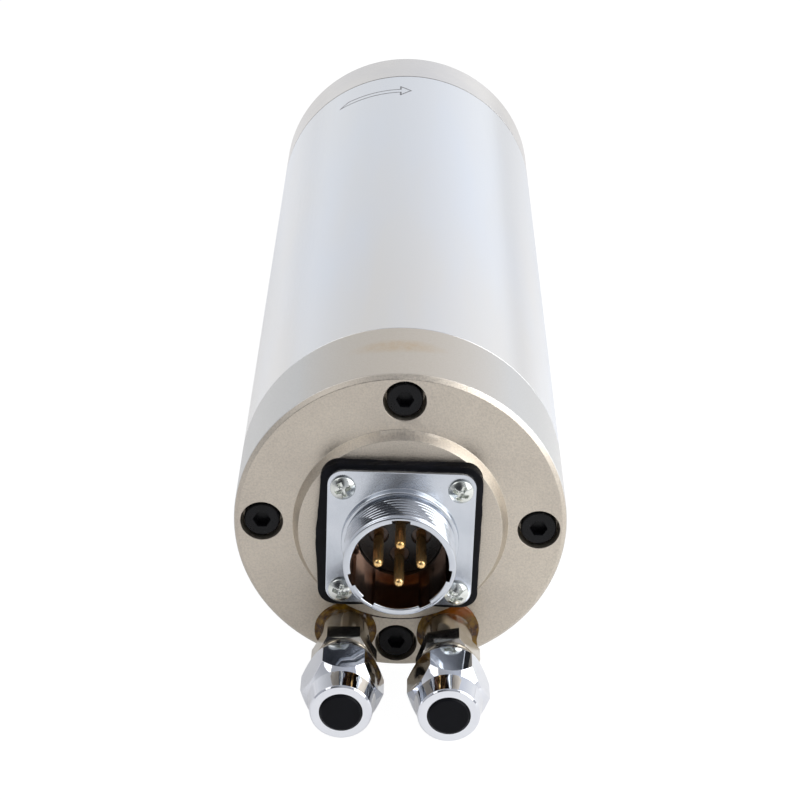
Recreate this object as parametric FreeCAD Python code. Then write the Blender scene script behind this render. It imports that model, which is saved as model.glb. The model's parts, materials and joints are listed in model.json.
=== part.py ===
import FreeCAD, Part
import math
import os

from FreeCAD import Vector

# A water-cooled motor spindle, 65 mm in diameter with a 195 mm body, built piece by piece.
# Millimetres. The spindle axis is Y and the nose points to +Y. Z is up.
# The origin is on the axis, in the middle of the steel sleeve that a clamp grips.

# How far a cut runs past the face that it opens, and the edge break of small pieces
PAST = 1.0
FINE_CHAMFER = 0.3

# Housing sizes
BODY_R = 32.5
SLEEVE_LENGTH = 158.0
SLEEVE_WALL = 2.0
SLEEVE_CHAMFER = 0.3
REAR_COVER_LENGTH = 21.5
FRONT_HOUSING_LENGTH = 15.5
COVER_CHAMFER = 0.9
SPIGOT_LENGTH = 8.0
SLIP_CLEARANCE = 0.03
REAR_WALL = 4.5
CAVITY_R = 19.5

# Raised boss under the electrical connector
BOSS_EDGE = 11.5
BOSS_SLOPE = 1.2
BOSS_HEIGHT = 2.2

# Screws that clamp the covers to the cooling jacket
SCREW_EDGE_DISTANCE = 5.5
SCREW_R = 2.0
SCREW_HEAD_R = 3.5
SCREW_HEAD_HEIGHT = 4.0
SCREW_SOCKET_FLATS = 3.0
SCREW_SOCKET_DEPTH = 2.0
SCREW_HOLE_CLEARANCE = 0.25
COUNTERBORE_CLEARANCE = 0.65
SCREW_SUNK = 0.6
SCREW_BITE = 8.0
SCREW_EDGE = 0.25
SCREW_COUNT = 4
FRONT_SCREW_DEG = 45.0
THREAD_CLEARANCE = 0.02

# Rubber seal rings under the sleeve
SEAL_SECTION_R = 0.7
SEAL_SQUEEZE_CLEARANCE = 0.04
SEAL_GROOVE_SIDE = 0.35

# Cooling jacket
JACKET_WALL = 3.5
LANE_DEPTH = 3.5
JACKET_END_LENGTH = 14.0
JACKET_SEAL_SETBACK = 3.5
LANE_COUNT = 12
LANE_RIB_WIDTH = 2.0
LANE_GAP = 8.0
PORT_R = 1.8
PORT_RUN_IN = 4.0

# Water fittings on the rear face
FITTING_X = 10.15
FITTING_EDGE = 8.5
FITTING_THREAD_R = 4.87
FITTING_THREAD_DEPTH = 9.0
FITTING_NECK_R = 4.95
FITTING_NECK_CLEARANCE = 0.1
FITTING_NECK_LENGTH = 8.0
FITTING_HEX_FLATS = 11.1
FITTING_HEX_LENGTH = 4.2
FITTING_HEX_TURN = {"inlet": 2.0, "outlet": 12.0}
FITTING_NUT_TURN = {"inlet": -1.0, "outlet": -2.0}
FITTING_MALE_R = 5.4
FITTING_MALE_LENGTH = 8.8
HOSE_R = 4.1
HOSE_SOCKET_DEPTH = 6.0
HOSE_SOCKET_CLEARANCE = 0.1
FERRULE_CONE_LENGTH = 1.2
FERRULE_BAND_LENGTH = 0.8
FERRULE_NOSE_LENGTH = 1.6
FERRULE_EDGE = 0.25
FERRULE_WALL = 1.15
FERRULE_TIP = 0.15
FERRULE_SLOPE = 0.75
FERRULE_CLEARANCE = 0.15
NUT_GAP = 2.0
NUT_FLATS = 13.8
NUT_HEX_LENGTH = 10.05
NUT_CHAMFER_DEG = 30.0
NUT_COLLAR_R = 6.3
NUT_COLLAR_LENGTH = 0.9
NUT_CONE_LENGTH = 4.25
NUT_CONE_BACK_R = 6.5
NUT_CONE_FRONT_R = 5.9
PLUG_CLEARANCE = 0.1
PLUG_PROUD = 0.4
PLUG_EDGE = 0.35
SEALANT_WIDTH = 0.85
SEALANT_HEIGHT = 2.8
SEALANT_TIP = 0.1
SEALANT_HOLLOW = 0.4

# Electrical connector
GASKET_SIDE = 31.2
GASKET_THICKNESS = 2.2
GASKET_CORNER_R = 3.5
FLANGE_SIDE = 28.4
FLANGE_THICKNESS = 1.4
FLANGE_CORNER_R = 3.0
FLANGE_SCREW_SPACING = 22.5
FLANGE_SCREW_R = 1.25
FLANGE_SCREW_HEAD_R = 2.4
FLANGE_SCREW_HEAD_HEIGHT = 1.6
FLANGE_SCREW_HEAD_BAND = 0.55
FLANGE_SCREW_TURNS = (14.0, 66.0, 38.0, 27.0)
FLANGE_SCREW_BITE = 4.0
FLANGE_SCREW_HOLE_CLEARANCE = 0.2
CROSS_RECESS_WIDTH = 0.75
CROSS_RECESS_SPAN = 2.9
CROSS_RECESS_DEPTH = 1.0
PANEL_HOLE_R = 9.3
PANEL_CLEARANCE = 0.1
BARREL_R = 10.7
BARREL_LENGTH = 10.1
BARREL_COLLAR_R = 11.3
BARREL_COLLAR_LENGTH = 1.5
BARREL_RELIEF_R = 10.2
BARREL_RELIEF_LENGTH = 0.7
BARREL_RIM_CHAMFER = 0.35
SOCKET_R = 9.3
SOCKET_FLOOR_R = 8.2
SOCKET_EDGE = 0.25
SOCKET_STEP = 0.4
SOCKET_SHELF = 1.2
CONNECTOR_BACK_LENGTH = 9.5
KEYWAY_DEPTH = 0.6
KEYWAYS = ((90.0, 3.4), (199.0, 2.6), (233.0, 2.6), (302.0, 2.4), (350.0, 2.4))
INSULATOR_FACE_DEPTH = 11.9
INSULATOR_RECESS_R = 1.9
INSULATOR_RECESS_DEPTH = 1.0
PIN_CIRCLE_R = 4.1
PIN_R = 1.0
PIN_RECESSED = 0.6
PIN_COUNT = 4
CUP_R = 1.35
CUP_LENGTH = 4.0
CUP_DEPTH = 3.0

# Leads from the stator to the connector
LEAD_R = 0.9
LEAD_CIRCLE_R = 17.8
LEAD_ANGLES = (55.0, 90.0, 125.0)
LEAD_BEND_R = 3.0
LEAD_CLEARANCE = 0.4
LEAD_CUP_CLEARANCE = 0.06
LEAD_STRAIGHT = 14.0

# Earth lead, its ring terminal and the screw on the rear bearing housing
EARTH_CIRCLE_R = 16.8
EARTH_SCREW_R = 1.5
EARTH_SCREW_HEAD_R = 2.25
EARTH_SCREW_HEAD_HEIGHT = 1.6
EARTH_SCREW_SOCKET_FLATS = 2.0
EARTH_SCREW_SOCKET_DEPTH = 1.0
EARTH_SCREW_BITE = 6.0
TERMINAL_R = 2.4
TERMINAL_THICKNESS = 0.6
TERMINAL_REACH = 4.6
TERMINAL_WIDTH = 2.4
TERMINAL_TUBE_R = 1.3
TERMINAL_TUBE_LENGTH = 5.5
TERMINAL_HOLE_CLEARANCE = 0.1

# Angular contact ball bearings, two at each end
REAR_BEARING = {"bore": 6.0, "outer": 14.0, "width": 8.0, "ball": 2.3, "pitch": 10.0, "balls": 9}
FRONT_BEARING = {"bore": 7.5, "outer": 16.0, "width": 9.0, "ball": 2.38, "pitch": 11.75, "balls": 11}
RACE_LAND = 0.9
BALL_CLEARANCE = 0.08
CAGE_THICKNESS = 1.1
CAGE_RAIL = 0.6
BEARING_FIT_CLEARANCE = 0.02
RACE_EDGE = 0.3

# Rear bearing housing
REAR_FLANGE_LENGTH = 8.0
REAR_HUB_WALL = 2.0
REAR_LIP_LENGTH = 2.5
REAR_LIP_R = 10.0
SPRING_HEIGHT = 1.8
SPRING_THICKNESS = 0.6
SPRING_CLEARANCE = 0.3
REAR_BEARING_SETBACK = 2.7
LOCK_NUT_R = 9.0
LOCK_NUT_LENGTH = 5.0
LOCK_NUT_SLOT = 3.0
LOCK_NUT_SLOT_DEPTH = 1.2
LOCK_NUT_SLOTS = 4
SHAFT_REAR_END = 1.7

# Front bearing housing, its cover and the rotating flinger
FRONT_LIP_R = 12.5
FRONT_COVER_R = 22.5
FRONT_COVER_LENGTH = 5.0
FRONT_COVER_SPIGOT = 1.5
FRONT_COVER_CHAMFER = 0.6
COVER_SCREW_CIRCLE_R = 18.9
COVER_SCREW_R = 1.5
COVER_SCREW_HEAD_R = 2.75
COVER_SCREW_HEAD_HEIGHT = 3.0
COVER_SCREW_SOCKET_FLATS = 2.5
COVER_SCREW_SOCKET_DEPTH = 1.4
COVER_SCREW_BITE = 7.0
COVER_SCREW_HEAD_CLEARANCE = 0.15
COVER_SCREW_HOLE_CLEARANCE = 0.1
COVER_SCREW_SUNK = 0.2
FLINGER_HUB_R = 10.8
FLINGER_DISC_R = 14.0
FLINGER_DISC_LENGTH = 2.2
FLINGER_CONE_LENGTH = 1.8
FLINGER_CONE_R = 10.0
RUNNING_GAP = 0.3

# Stator and rotor
STACK_ENDS = 88.0
STACK_CENTRE = 7.0
STATOR_BORE_R = 12.6
AIR_GAP = 0.3
SLOT_COUNT = 18
SLOT_MOUTH = 1.2
SLOT_LIP = 0.7
SLOT_NECK = 2.2
SLOT_WIDTH = 4.3
STATOR_YOKE = 3.3
SLOT_CORNER = 0.9
COIL_CLEARANCE = 0.12
COIL_OVERHANG = 17.0
COIL_INNER_R = 14.2
COIL_JACKET_GAP = 1.7
COIL_ROUND_SHARE = 0.34
ROTOR_BORE_R = 8.0
CAGE_BAR_COUNT = 14
CAGE_BAR_R = 1.0
CAGE_BAR_DEPTH = 1.5
CAGE_RING_LENGTH = 6.0
CAGE_RING_GAP = 0.2

# Shaft
REAR_SHOULDER_R = 7.4
FRONT_SHOULDER_R = 9.4
FRONT_SHOULDER_LENGTH = 9.0
NOSE_LENGTH = 18.4
WRENCH_FLATS = 13.0
WRENCH_FLAT_LENGTH = 6.0
WRENCH_FLAT_SETBACK = 1.2
NOSE_THREAD_R = 7.0
NOSE_THREAD_LENGTH = 8.0
SHANK_BORE_R = 4.0
SHANK_BORE_DEPTH = 34.0
DRILL_POINT_DEG = 118.0
SHAFT_CHAMFER = 0.6
NOSE_RELIEF_LENGTH = 1.4
NOSE_RELIEF_DEPTH = 0.6

# Spring collet for 6 mm tool shanks and its nut
COLLET_LENGTH = 18.0
COLLET_BORE_R = 3.0
COLLET_MAX_R = 5.75
COLLET_TAPER_DEG = 8.0
COLLET_TAPER_LENGTH = 12.45
COLLET_GROOVE_R = 4.9
COLLET_GROOVE_LENGTH = 1.75
COLLET_RIM_R = 5.6
COLLET_RIM_BAND = 0.5
COLLET_NOSE_DEG = 30.0
COLLET_NOSE_LENGTH = 2.5
COLLET_STAND_OUT = 6.4
COLLET_SLITS = 4
COLLET_SLIT = 0.5
COLLET_SLIT_LENGTH = 14.5
TAPER_CLEARANCE = 0.06
COLLET_NUT_LENGTH = 11.3
COLLET_NUT_R = 9.5
COLLET_NUT_FLATS = 17.0
COLLET_NUT_HEX_LENGTH = 8.0
COLLET_NUT_FRONT_R = 7.6
COLLET_NUT_EDGE = 0.8
COLLET_NUT_SETBACK = 0.2
COLLET_NUT_LIP_LENGTH = 1.1
COLLET_NUT_CLEARANCE = 0.15
NUT_THREAD_CLEARANCE = 0.05

# Sizes across the body that follow from its radius
SLEEVE_BORE_R = BODY_R - SLEEVE_WALL
BOSS_BASE_R = BODY_R - BOSS_EDGE
BOSS_TOP_R = BOSS_BASE_R - BOSS_SLOPE
SCREW_CIRCLE_R = BODY_R - SCREW_EDGE_DISTANCE
JACKET_FLOOR_R = SLEEVE_BORE_R - LANE_DEPTH
JACKET_BORE_R = JACKET_FLOOR_R - JACKET_WALL
FITTING_Z = FITTING_EDGE - BODY_R
SLOT_DEPTH = JACKET_BORE_R - STATOR_YOKE - STATOR_BORE_R - SLOT_LIP
COIL_OUTER_R = JACKET_BORE_R - COIL_JACKET_GAP
COIL_ROUND = (COIL_OUTER_R - COIL_INNER_R) * COIL_ROUND_SHARE

# Places along the axis that follow from the sizes
SLEEVE_REAR = -SLEEVE_LENGTH / 2
SLEEVE_FRONT = SLEEVE_LENGTH / 2
REAR_FACE = SLEEVE_REAR - REAR_COVER_LENGTH
BOSS_FACE = REAR_FACE - BOSS_HEIGHT
FRONT_FACE = SLEEVE_FRONT + FRONT_HOUSING_LENGTH
SPIGOT_R = SLEEVE_BORE_R - SLIP_CLEARANCE
REAR_SPIGOT_END = SLEEVE_REAR + SPIGOT_LENGTH
JACKET_REAR = REAR_SPIGOT_END + REAR_FLANGE_LENGTH
JACKET_FRONT = SLEEVE_FRONT - SPIGOT_LENGTH
SCREW_HOLE_R = SCREW_R + SCREW_HOLE_CLEARANCE
COUNTERBORE_R = SCREW_HEAD_R + COUNTERBORE_CLEARANCE
COUNTERBORE_DEPTH = SCREW_HEAD_HEIGHT + SCREW_SUNK
SCREW_HEAD_SEAT_REAR = REAR_FACE + COUNTERBORE_DEPTH
SCREW_HEAD_SEAT_FRONT = FRONT_FACE - COUNTERBORE_DEPTH
SEAL_GROOVE_R = SLEEVE_BORE_R - 2 * (SEAL_SECTION_R + SEAL_SQUEEZE_CLEARANCE)
SEAL_GROOVE_HALF = SEAL_SECTION_R + SEAL_GROOVE_SIDE
SEAL_PLACES = (
    SLEEVE_REAR + SPIGOT_LENGTH / 2,
    JACKET_REAR + JACKET_END_LENGTH - JACKET_SEAL_SETBACK,
    JACKET_FRONT - JACKET_END_LENGTH + JACKET_SEAL_SETBACK,
    SLEEVE_FRONT - SPIGOT_LENGTH / 2,
)
FRONT_BEARING_END = FRONT_FACE - FRONT_COVER_SPIGOT
FRONT_BEARING_START = FRONT_BEARING_END - 2 * FRONT_BEARING["width"]
FRONT_COVER_FACE = FRONT_FACE + FRONT_COVER_LENGTH
COVER_SCREW_SEAT = FRONT_COVER_FACE - COVER_SCREW_HEAD_HEIGHT - COVER_SCREW_SUNK
REAR_HUB_R = REAR_BEARING["outer"] + REAR_HUB_WALL
REAR_BEARING_START = REAR_SPIGOT_END + REAR_BEARING_SETBACK
REAR_BEARING_END = REAR_BEARING_START + 2 * REAR_BEARING["width"]
REAR_LIP_START = REAR_BEARING_END + SPRING_HEIGHT
REAR_HUB_END = REAR_LIP_START + REAR_LIP_LENGTH
STACK_LENGTH = SLEEVE_LENGTH - STACK_ENDS
STACK_REAR = STACK_CENTRE - STACK_LENGTH / 2
STACK_FRONT = STACK_CENTRE + STACK_LENGTH / 2
FLINGER_DISC_START = FRONT_COVER_FACE + RUNNING_GAP
FLINGER_FACE = FLINGER_DISC_START + FLINGER_DISC_LENGTH + FLINGER_CONE_LENGTH
NOSE_FACE = FLINGER_FACE + NOSE_LENGTH
COLLET_FRONT = NOSE_FACE + COLLET_STAND_OUT
COLLET_BACK = COLLET_FRONT - COLLET_LENGTH
COLLET_LARGE_END = COLLET_BACK + COLLET_TAPER_LENGTH
COLLET_GROOVE_END = COLLET_LARGE_END + COLLET_GROOVE_LENGTH
COLLET_CONE_START = COLLET_GROOVE_END + COLLET_RIM_BAND
COLLET_CONE_END = COLLET_CONE_START + COLLET_NOSE_LENGTH
COLLET_NOSE_R = COLLET_RIM_R - COLLET_NOSE_LENGTH * math.tan(math.radians(COLLET_NOSE_DEG))
GASKET_FACE = BOSS_FACE - GASKET_THICKNESS
FLANGE_FACE = GASKET_FACE - FLANGE_THICKNESS
BARREL_FACE = FLANGE_FACE - BARREL_LENGTH
CONNECTOR_BACK = GASKET_FACE + CONNECTOR_BACK_LENGTH
INSULATOR_FACE = BARREL_FACE + INSULATOR_FACE_DEPTH
PIN_TIP = BARREL_FACE + PIN_RECESSED
CUP_END = CONNECTOR_BACK + CUP_LENGTH
CUP_FLOOR = CUP_END - CUP_DEPTH
LEAD_LANE = REAR_SPIGOT_END - LEAD_STRAIGHT
FITTING_ENDS = {"inlet": -FITTING_X, "outlet": FITTING_X}
FITTING_HEX_START = REAR_FACE - FITTING_NECK_LENGTH
FITTING_HEX_END = FITTING_HEX_START - FITTING_HEX_LENGTH
FITTING_MOUTH = FITTING_HEX_END - FITTING_MALE_LENGTH
FERRULE_BACK = FITTING_MOUTH + FERRULE_CONE_LENGTH - FERRULE_CLEARANCE / FERRULE_SLOPE
FERRULE_BAND_R = HOSE_R + FERRULE_WALL
FERRULE_BAND_START = FERRULE_BACK - (FERRULE_WALL - FERRULE_TIP) / FERRULE_SLOPE
FERRULE_BAND_END = FERRULE_BAND_START - FERRULE_BAND_LENGTH
FERRULE_FRONT = FERRULE_BAND_END - FERRULE_NOSE_LENGTH
NUT_BACK = FITTING_HEX_END - NUT_GAP
NUT_HEX_START = NUT_BACK - NUT_COLLAR_LENGTH
NUT_HEX_END = NUT_HEX_START - NUT_HEX_LENGTH
NUT_FACE = NUT_HEX_END - NUT_CONE_LENGTH


def turned(points, x=0.0, z=0.0):
    """A solid turned about the Y direction through (x, z), from (radius, y) corners of its section."""
    corners = [Vector(radius, y, 0) for radius, y in points]
    face = Part.Face(Part.makePolygon(corners + corners[:1]))
    solid = face.revolve(Vector(0, 0, 0), Vector(0, 1, 0), 360)
    solid.translate(Vector(x, 0, z))
    return solid


def rod(radius, start, end, x=0.0, z=0.0):
    """A round bar along Y."""
    return Part.makeCylinder(radius, end - start, Vector(x, start, z), Vector(0, 1, 0))


def ring(inner, outer, start, end, x=0.0, z=0.0):
    """A plain round tube along Y."""
    return rod(outer, start, end, x, z).cut(rod(inner, start - PAST, end + PAST, x, z))


def prism(corners, start, end):
    """A straight bar along Y over a polygon of (x, z) corners."""
    points = [Vector(x, start, z) for x, z in corners]
    face = Part.Face(Part.makePolygon(points + points[:1]))
    return face.extrude(Vector(0, end - start, 0))


def hexagon(flats, start, end, turn=0.0, x=0.0, z=0.0):
    """A hexagonal bar along Y, with flats facing up and down before its turn."""
    corner = flats / math.sqrt(3)
    angles = [math.radians(60 * step + turn) for step in range(6)]
    corners = [(x + corner * math.cos(a), z + corner * math.sin(a)) for a in angles]
    return prism(corners, start, end)


def rounded_plate(side, corner, start, end):
    """A square plate with round corners, square to Y."""
    half = side / 2
    plate = Part.makeBox(side, end - start, side, Vector(-half, start, -half))
    edges = [e for e in plate.Edges if abs(e.tangentAt(e.FirstParameter).y) > 0.99]
    return plate.makeFillet(corner, edges)


def around(count, radius, turn=0.0):
    """The (x, z) places of a circle of equal steps about the axis."""
    angles = [math.radians(turn + 360 * step / count) for step in range(count)]
    return [(radius * math.cos(a), radius * math.sin(a)) for a in angles]


def turned_copies(solid, count, step=None, first=0.0):
    """Copies of a solid turned about the spindle axis, from first in equal steps."""
    step = 360 / count if step is None else step
    copies = []
    for number in range(count):
        copy = solid.copy()
        copy.rotate(Vector(0, 0, 0), Vector(0, 1, 0), -(first + number * step))
        copies.append(copy)
    return copies


def cut_all(solid, tools):
    """The solid less all the tools, as one solid."""
    return solid.cut(Part.makeCompound(tools)).removeSplitter()


def save(name, *solids):
    """Writes the pieces of one node, after testing that each is a closed valid solid."""
    pieces = [piece for solid in solids for piece in solid.Solids]
    for piece in pieces:
        if not piece.isValid() or piece.Volume <= 0:
            raise ValueError(f"{name} holds a bad solid")
    shape = pieces[0] if len(pieces) == 1 else Part.makeCompound(pieces)
    shape.exportStep(f"parts/{name}.step")
    print(f"{name}: {len(pieces)} solid(s), {shape.Volume / 1000:.2f} cm3")


def seal_groove(place):
    """The ring that cuts a seal groove from the outside of a spigot or jacket end."""
    return ring(SEAL_GROOVE_R, BODY_R + PAST, place - SEAL_GROOVE_HALF, place + SEAL_GROOVE_HALF)


def seals():
    """One round seal ring in each groove under the sleeve."""
    middle = SEAL_GROOVE_R + SEAL_SQUEEZE_CLEARANCE + SEAL_SECTION_R
    axis = Vector(0, 1, 0)
    return [Part.makeTorus(middle, SEAL_SECTION_R, Vector(0, y, 0), axis) for y in SEAL_PLACES]


def outer_sleeve():
    """The polished steel sleeve, with a fine chamfer at each end."""
    c = SLEEVE_CHAMFER
    return turned([
        (SLEEVE_BORE_R, SLEEVE_REAR), (BODY_R - c, SLEEVE_REAR), (BODY_R, SLEEVE_REAR + c),
        (BODY_R, SLEEVE_FRONT - c), (BODY_R - c, SLEEVE_FRONT), (SLEEVE_BORE_R, SLEEVE_FRONT),
    ])


def fitting_places():
    """The (x, z) places of the two water fittings."""
    return [(x, FITTING_Z) for x in FITTING_ENDS.values()]


def flange_screw_places():
    """The (x, z) places of the four connector screws."""
    half = FLANGE_SCREW_SPACING / 2
    return [(sx * half, sz * half) for sx in (-1, 1) for sz in (-1, 1)]


def screw_hole(x, z, face, seat, end, radius, head_radius):
    """A counterbored through hole, from the face it opens in to its far end."""
    outside = face + math.copysign(PAST, face - seat)
    shank = rod(radius, min(seat, end), max(seat, end), x, z)
    head = rod(head_radius, min(outside, seat), max(outside, seat), x, z)
    return head.fuse(shank)


def socket_screw(x, z, seat, outward, length, radius, head_radius, head_height, flats, depth):
    """A socket head cap screw whose head stands outward (+1 or -1 along Y) from its seat."""
    edge = SCREW_EDGE
    head_end = seat + outward * head_height
    profile = [
        (0, seat - outward * length), (radius - edge, seat - outward * length),
        (radius, seat - outward * (length - edge)), (radius, seat), (head_radius, seat),
        (head_radius, head_end - outward * edge), (head_radius - edge, head_end), (0, head_end),
    ]
    body = turned(profile, x, z)
    floor = head_end - outward * depth
    top = head_end + outward * PAST
    socket = hexagon(flats, min(floor, top), max(floor, top), 0.0, x, z)
    return body.cut(socket)


def rear_cover():
    """The plated rear cover: chamfered rim, raised boss, spigot, screw holes and water ports."""
    profile = [
        (PANEL_HOLE_R, BOSS_FACE), (BOSS_TOP_R, BOSS_FACE), (BOSS_BASE_R, REAR_FACE),
        (BODY_R - COVER_CHAMFER, REAR_FACE), (BODY_R, REAR_FACE + COVER_CHAMFER),
        (BODY_R, SLEEVE_REAR), (SPIGOT_R, SLEEVE_REAR), (SPIGOT_R, REAR_SPIGOT_END),
        (CAVITY_R, REAR_SPIGOT_END), (CAVITY_R, REAR_FACE + REAR_WALL),
        (PANEL_HOLE_R, REAR_FACE + REAR_WALL),
    ]
    tools = [seal_groove(SEAL_PLACES[0])]
    for x, z in around(SCREW_COUNT, SCREW_CIRCLE_R):
        tools.append(screw_hole(x, z, REAR_FACE, SCREW_HEAD_SEAT_REAR,
                                REAR_SPIGOT_END + PAST,
                                SCREW_HOLE_R, COUNTERBORE_R))
    thread_end = REAR_FACE + FITTING_THREAD_DEPTH + PAST
    for x, z in fitting_places():
        tools.append(rod(FITTING_THREAD_R + THREAD_CLEARANCE, REAR_FACE - PAST, thread_end, x, z))
        tools.append(rod(PORT_R, thread_end - PAST, REAR_SPIGOT_END + PAST, x, z))
        neck = FITTING_NECK_R + FITTING_NECK_CLEARANCE
        tools.append(rod(neck, BOSS_FACE - PAST, REAR_FACE, x, z))
    hole_end = BOSS_FACE + FLANGE_SCREW_BITE + PAST
    for x, z in flange_screw_places():
        tools.append(rod(FLANGE_SCREW_R + THREAD_CLEARANCE, BOSS_FACE - PAST, hole_end, x, z))
    return cut_all(turned(profile), tools)


def rear_cover_screws():
    """The four long black screws that draw the rear cover to the jacket."""
    length = JACKET_REAR + SCREW_BITE - SCREW_HEAD_SEAT_REAR
    return [
        socket_screw(x, z, SCREW_HEAD_SEAT_REAR, -1, length, SCREW_R, SCREW_HEAD_R,
                     SCREW_HEAD_HEIGHT, SCREW_SOCKET_FLATS, SCREW_SOCKET_DEPTH)
        for x, z in around(SCREW_COUNT, SCREW_CIRCLE_R)
    ]


def rear_bearing_housing():
    """The plate and hub that carry the two rear bearings and pass the leads and the water."""
    bore = REAR_BEARING["outer"] + BEARING_FIT_CLEARANCE
    profile = [
        (bore, REAR_SPIGOT_END), (SPIGOT_R, REAR_SPIGOT_END), (SPIGOT_R, JACKET_REAR),
        (REAR_HUB_R, JACKET_REAR), (REAR_HUB_R, REAR_HUB_END), (REAR_LIP_R, REAR_HUB_END),
        (REAR_LIP_R, REAR_LIP_START), (bore, REAR_LIP_START),
    ]
    start, end = REAR_SPIGOT_END - PAST, JACKET_REAR + PAST
    tools = [rod(SCREW_HOLE_R, start, end, x, z) for x, z in around(SCREW_COUNT, SCREW_CIRCLE_R)]
    tools += [rod(PORT_R, start, end, x, z) for x, z in fitting_places()]
    for angle in LEAD_ANGLES:
        x, z = around(1, LEAD_CIRCLE_R, angle)[0]
        tools.append(rod(LEAD_R + LEAD_CLEARANCE, start, end, x, z))
    earth_end = REAR_SPIGOT_END + EARTH_SCREW_BITE + PAST
    tools.append(rod(EARTH_SCREW_R + THREAD_CLEARANCE, start, earth_end, 0, -EARTH_CIRCLE_R))
    return cut_all(turned(profile), tools)


def lane_ribs():
    """The ribs that fold the water path into lanes, each open at one end past the first."""
    start, end = JACKET_REAR + JACKET_END_LENGTH, JACKET_FRONT - JACKET_END_LENGTH
    half = LANE_RIB_WIDTH / 2
    inner, outer = JACKET_FLOOR_R - PAST, SPIGOT_R
    ribs = []
    for number in range(LANE_COUNT):
        low = start if number % 2 == 1 or number == 0 else start + LANE_GAP
        high = end if number % 2 == 0 else end - LANE_GAP
        bar = prism([(inner, -half), (BODY_R, -half), (BODY_R, half), (inner, half)], low, high)
        bar = bar.common(rod(outer, low, high))
        ribs += turned_copies(bar, 1, 0.0, -90 + number * 360 / LANE_COUNT)
    return ribs


def cooling_jacket():
    """The aluminium jacket: sealed ends, a sunk floor, and ribs that fold the water path."""
    rear_ring_end = JACKET_REAR + JACKET_END_LENGTH
    front_ring_start = JACKET_FRONT - JACKET_END_LENGTH
    profile = [
        (JACKET_BORE_R, JACKET_REAR), (SPIGOT_R, JACKET_REAR), (SPIGOT_R, rear_ring_end),
        (JACKET_FLOOR_R, rear_ring_end), (JACKET_FLOOR_R, front_ring_start),
        (SPIGOT_R, front_ring_start), (SPIGOT_R, JACKET_FRONT), (JACKET_BORE_R, JACKET_FRONT),
    ]
    jacket = turned(profile).fuse(lane_ribs())
    bite = SCREW_BITE + PAST
    tools = [seal_groove(place) for place in SEAL_PLACES[1:3]]
    tapped = SCREW_R + THREAD_CLEARANCE
    for x, z in around(SCREW_COUNT, SCREW_CIRCLE_R):
        tools.append(rod(tapped, JACKET_REAR - PAST, JACKET_REAR + bite, x, z))
    for x, z in around(SCREW_COUNT, SCREW_CIRCLE_R, FRONT_SCREW_DEG):
        tools.append(rod(tapped, JACKET_FRONT - bite, JACKET_FRONT + PAST, x, z))
    for x, z in fitting_places():
        tools.append(rod(PORT_R, JACKET_REAR - PAST, rear_ring_end + PORT_RUN_IN, x, z))
    return cut_all(jacket, tools)


def front_bearing_housing():
    """The front end of the body, which carries the two front bearings against its lip."""
    bore = FRONT_BEARING["outer"] + BEARING_FIT_CLEARANCE
    profile = [
        (FRONT_LIP_R, JACKET_FRONT), (SPIGOT_R, JACKET_FRONT), (SPIGOT_R, SLEEVE_FRONT),
        (BODY_R, SLEEVE_FRONT), (BODY_R, FRONT_FACE - COVER_CHAMFER),
        (BODY_R - COVER_CHAMFER, FRONT_FACE), (bore, FRONT_FACE), (bore, FRONT_BEARING_START),
        (FRONT_LIP_R, FRONT_BEARING_START),
    ]
    tools = [seal_groove(SEAL_PLACES[3])]
    for x, z in around(SCREW_COUNT, SCREW_CIRCLE_R, FRONT_SCREW_DEG):
        tools.append(screw_hole(x, z, FRONT_FACE, SCREW_HEAD_SEAT_FRONT, JACKET_FRONT - PAST,
                                SCREW_HOLE_R, COUNTERBORE_R))
    start = FRONT_FACE - COVER_SCREW_BITE - PAST
    for x, z in around(SCREW_COUNT, COVER_SCREW_CIRCLE_R):
        tools.append(rod(COVER_SCREW_R + THREAD_CLEARANCE, start, FRONT_FACE + PAST, x, z))
    return cut_all(turned(profile), tools)


def front_housing_screws():
    """The four black screws that draw the front housing to the jacket."""
    length = SCREW_HEAD_SEAT_FRONT - JACKET_FRONT + SCREW_BITE
    return [
        socket_screw(x, z, SCREW_HEAD_SEAT_FRONT, 1, length, SCREW_R, SCREW_HEAD_R,
                     SCREW_HEAD_HEIGHT, SCREW_SOCKET_FLATS, SCREW_SOCKET_DEPTH)
        for x, z in around(SCREW_COUNT, SCREW_CIRCLE_R, FRONT_SCREW_DEG)
    ]


def front_bearing_cover():
    """The cover that holds the front outer rings, with a bore that the flinger runs in."""
    bore = FLINGER_HUB_R + RUNNING_GAP
    spigot = FRONT_BEARING["outer"] - SLIP_CLEARANCE
    c = FRONT_COVER_CHAMFER
    profile = [
        (bore, FRONT_BEARING_END), (spigot, FRONT_BEARING_END), (spigot, FRONT_FACE),
        (FRONT_COVER_R, FRONT_FACE), (FRONT_COVER_R, FRONT_COVER_FACE - c),
        (FRONT_COVER_R - c, FRONT_COVER_FACE), (bore, FRONT_COVER_FACE),
    ]
    tools = [
        screw_hole(x, z, FRONT_COVER_FACE, COVER_SCREW_SEAT, FRONT_FACE - PAST,
                   COVER_SCREW_R + COVER_SCREW_HOLE_CLEARANCE,
                   COVER_SCREW_HEAD_R + COVER_SCREW_HEAD_CLEARANCE)
        for x, z in around(SCREW_COUNT, COVER_SCREW_CIRCLE_R)
    ]
    return cut_all(turned(profile), tools)


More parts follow.
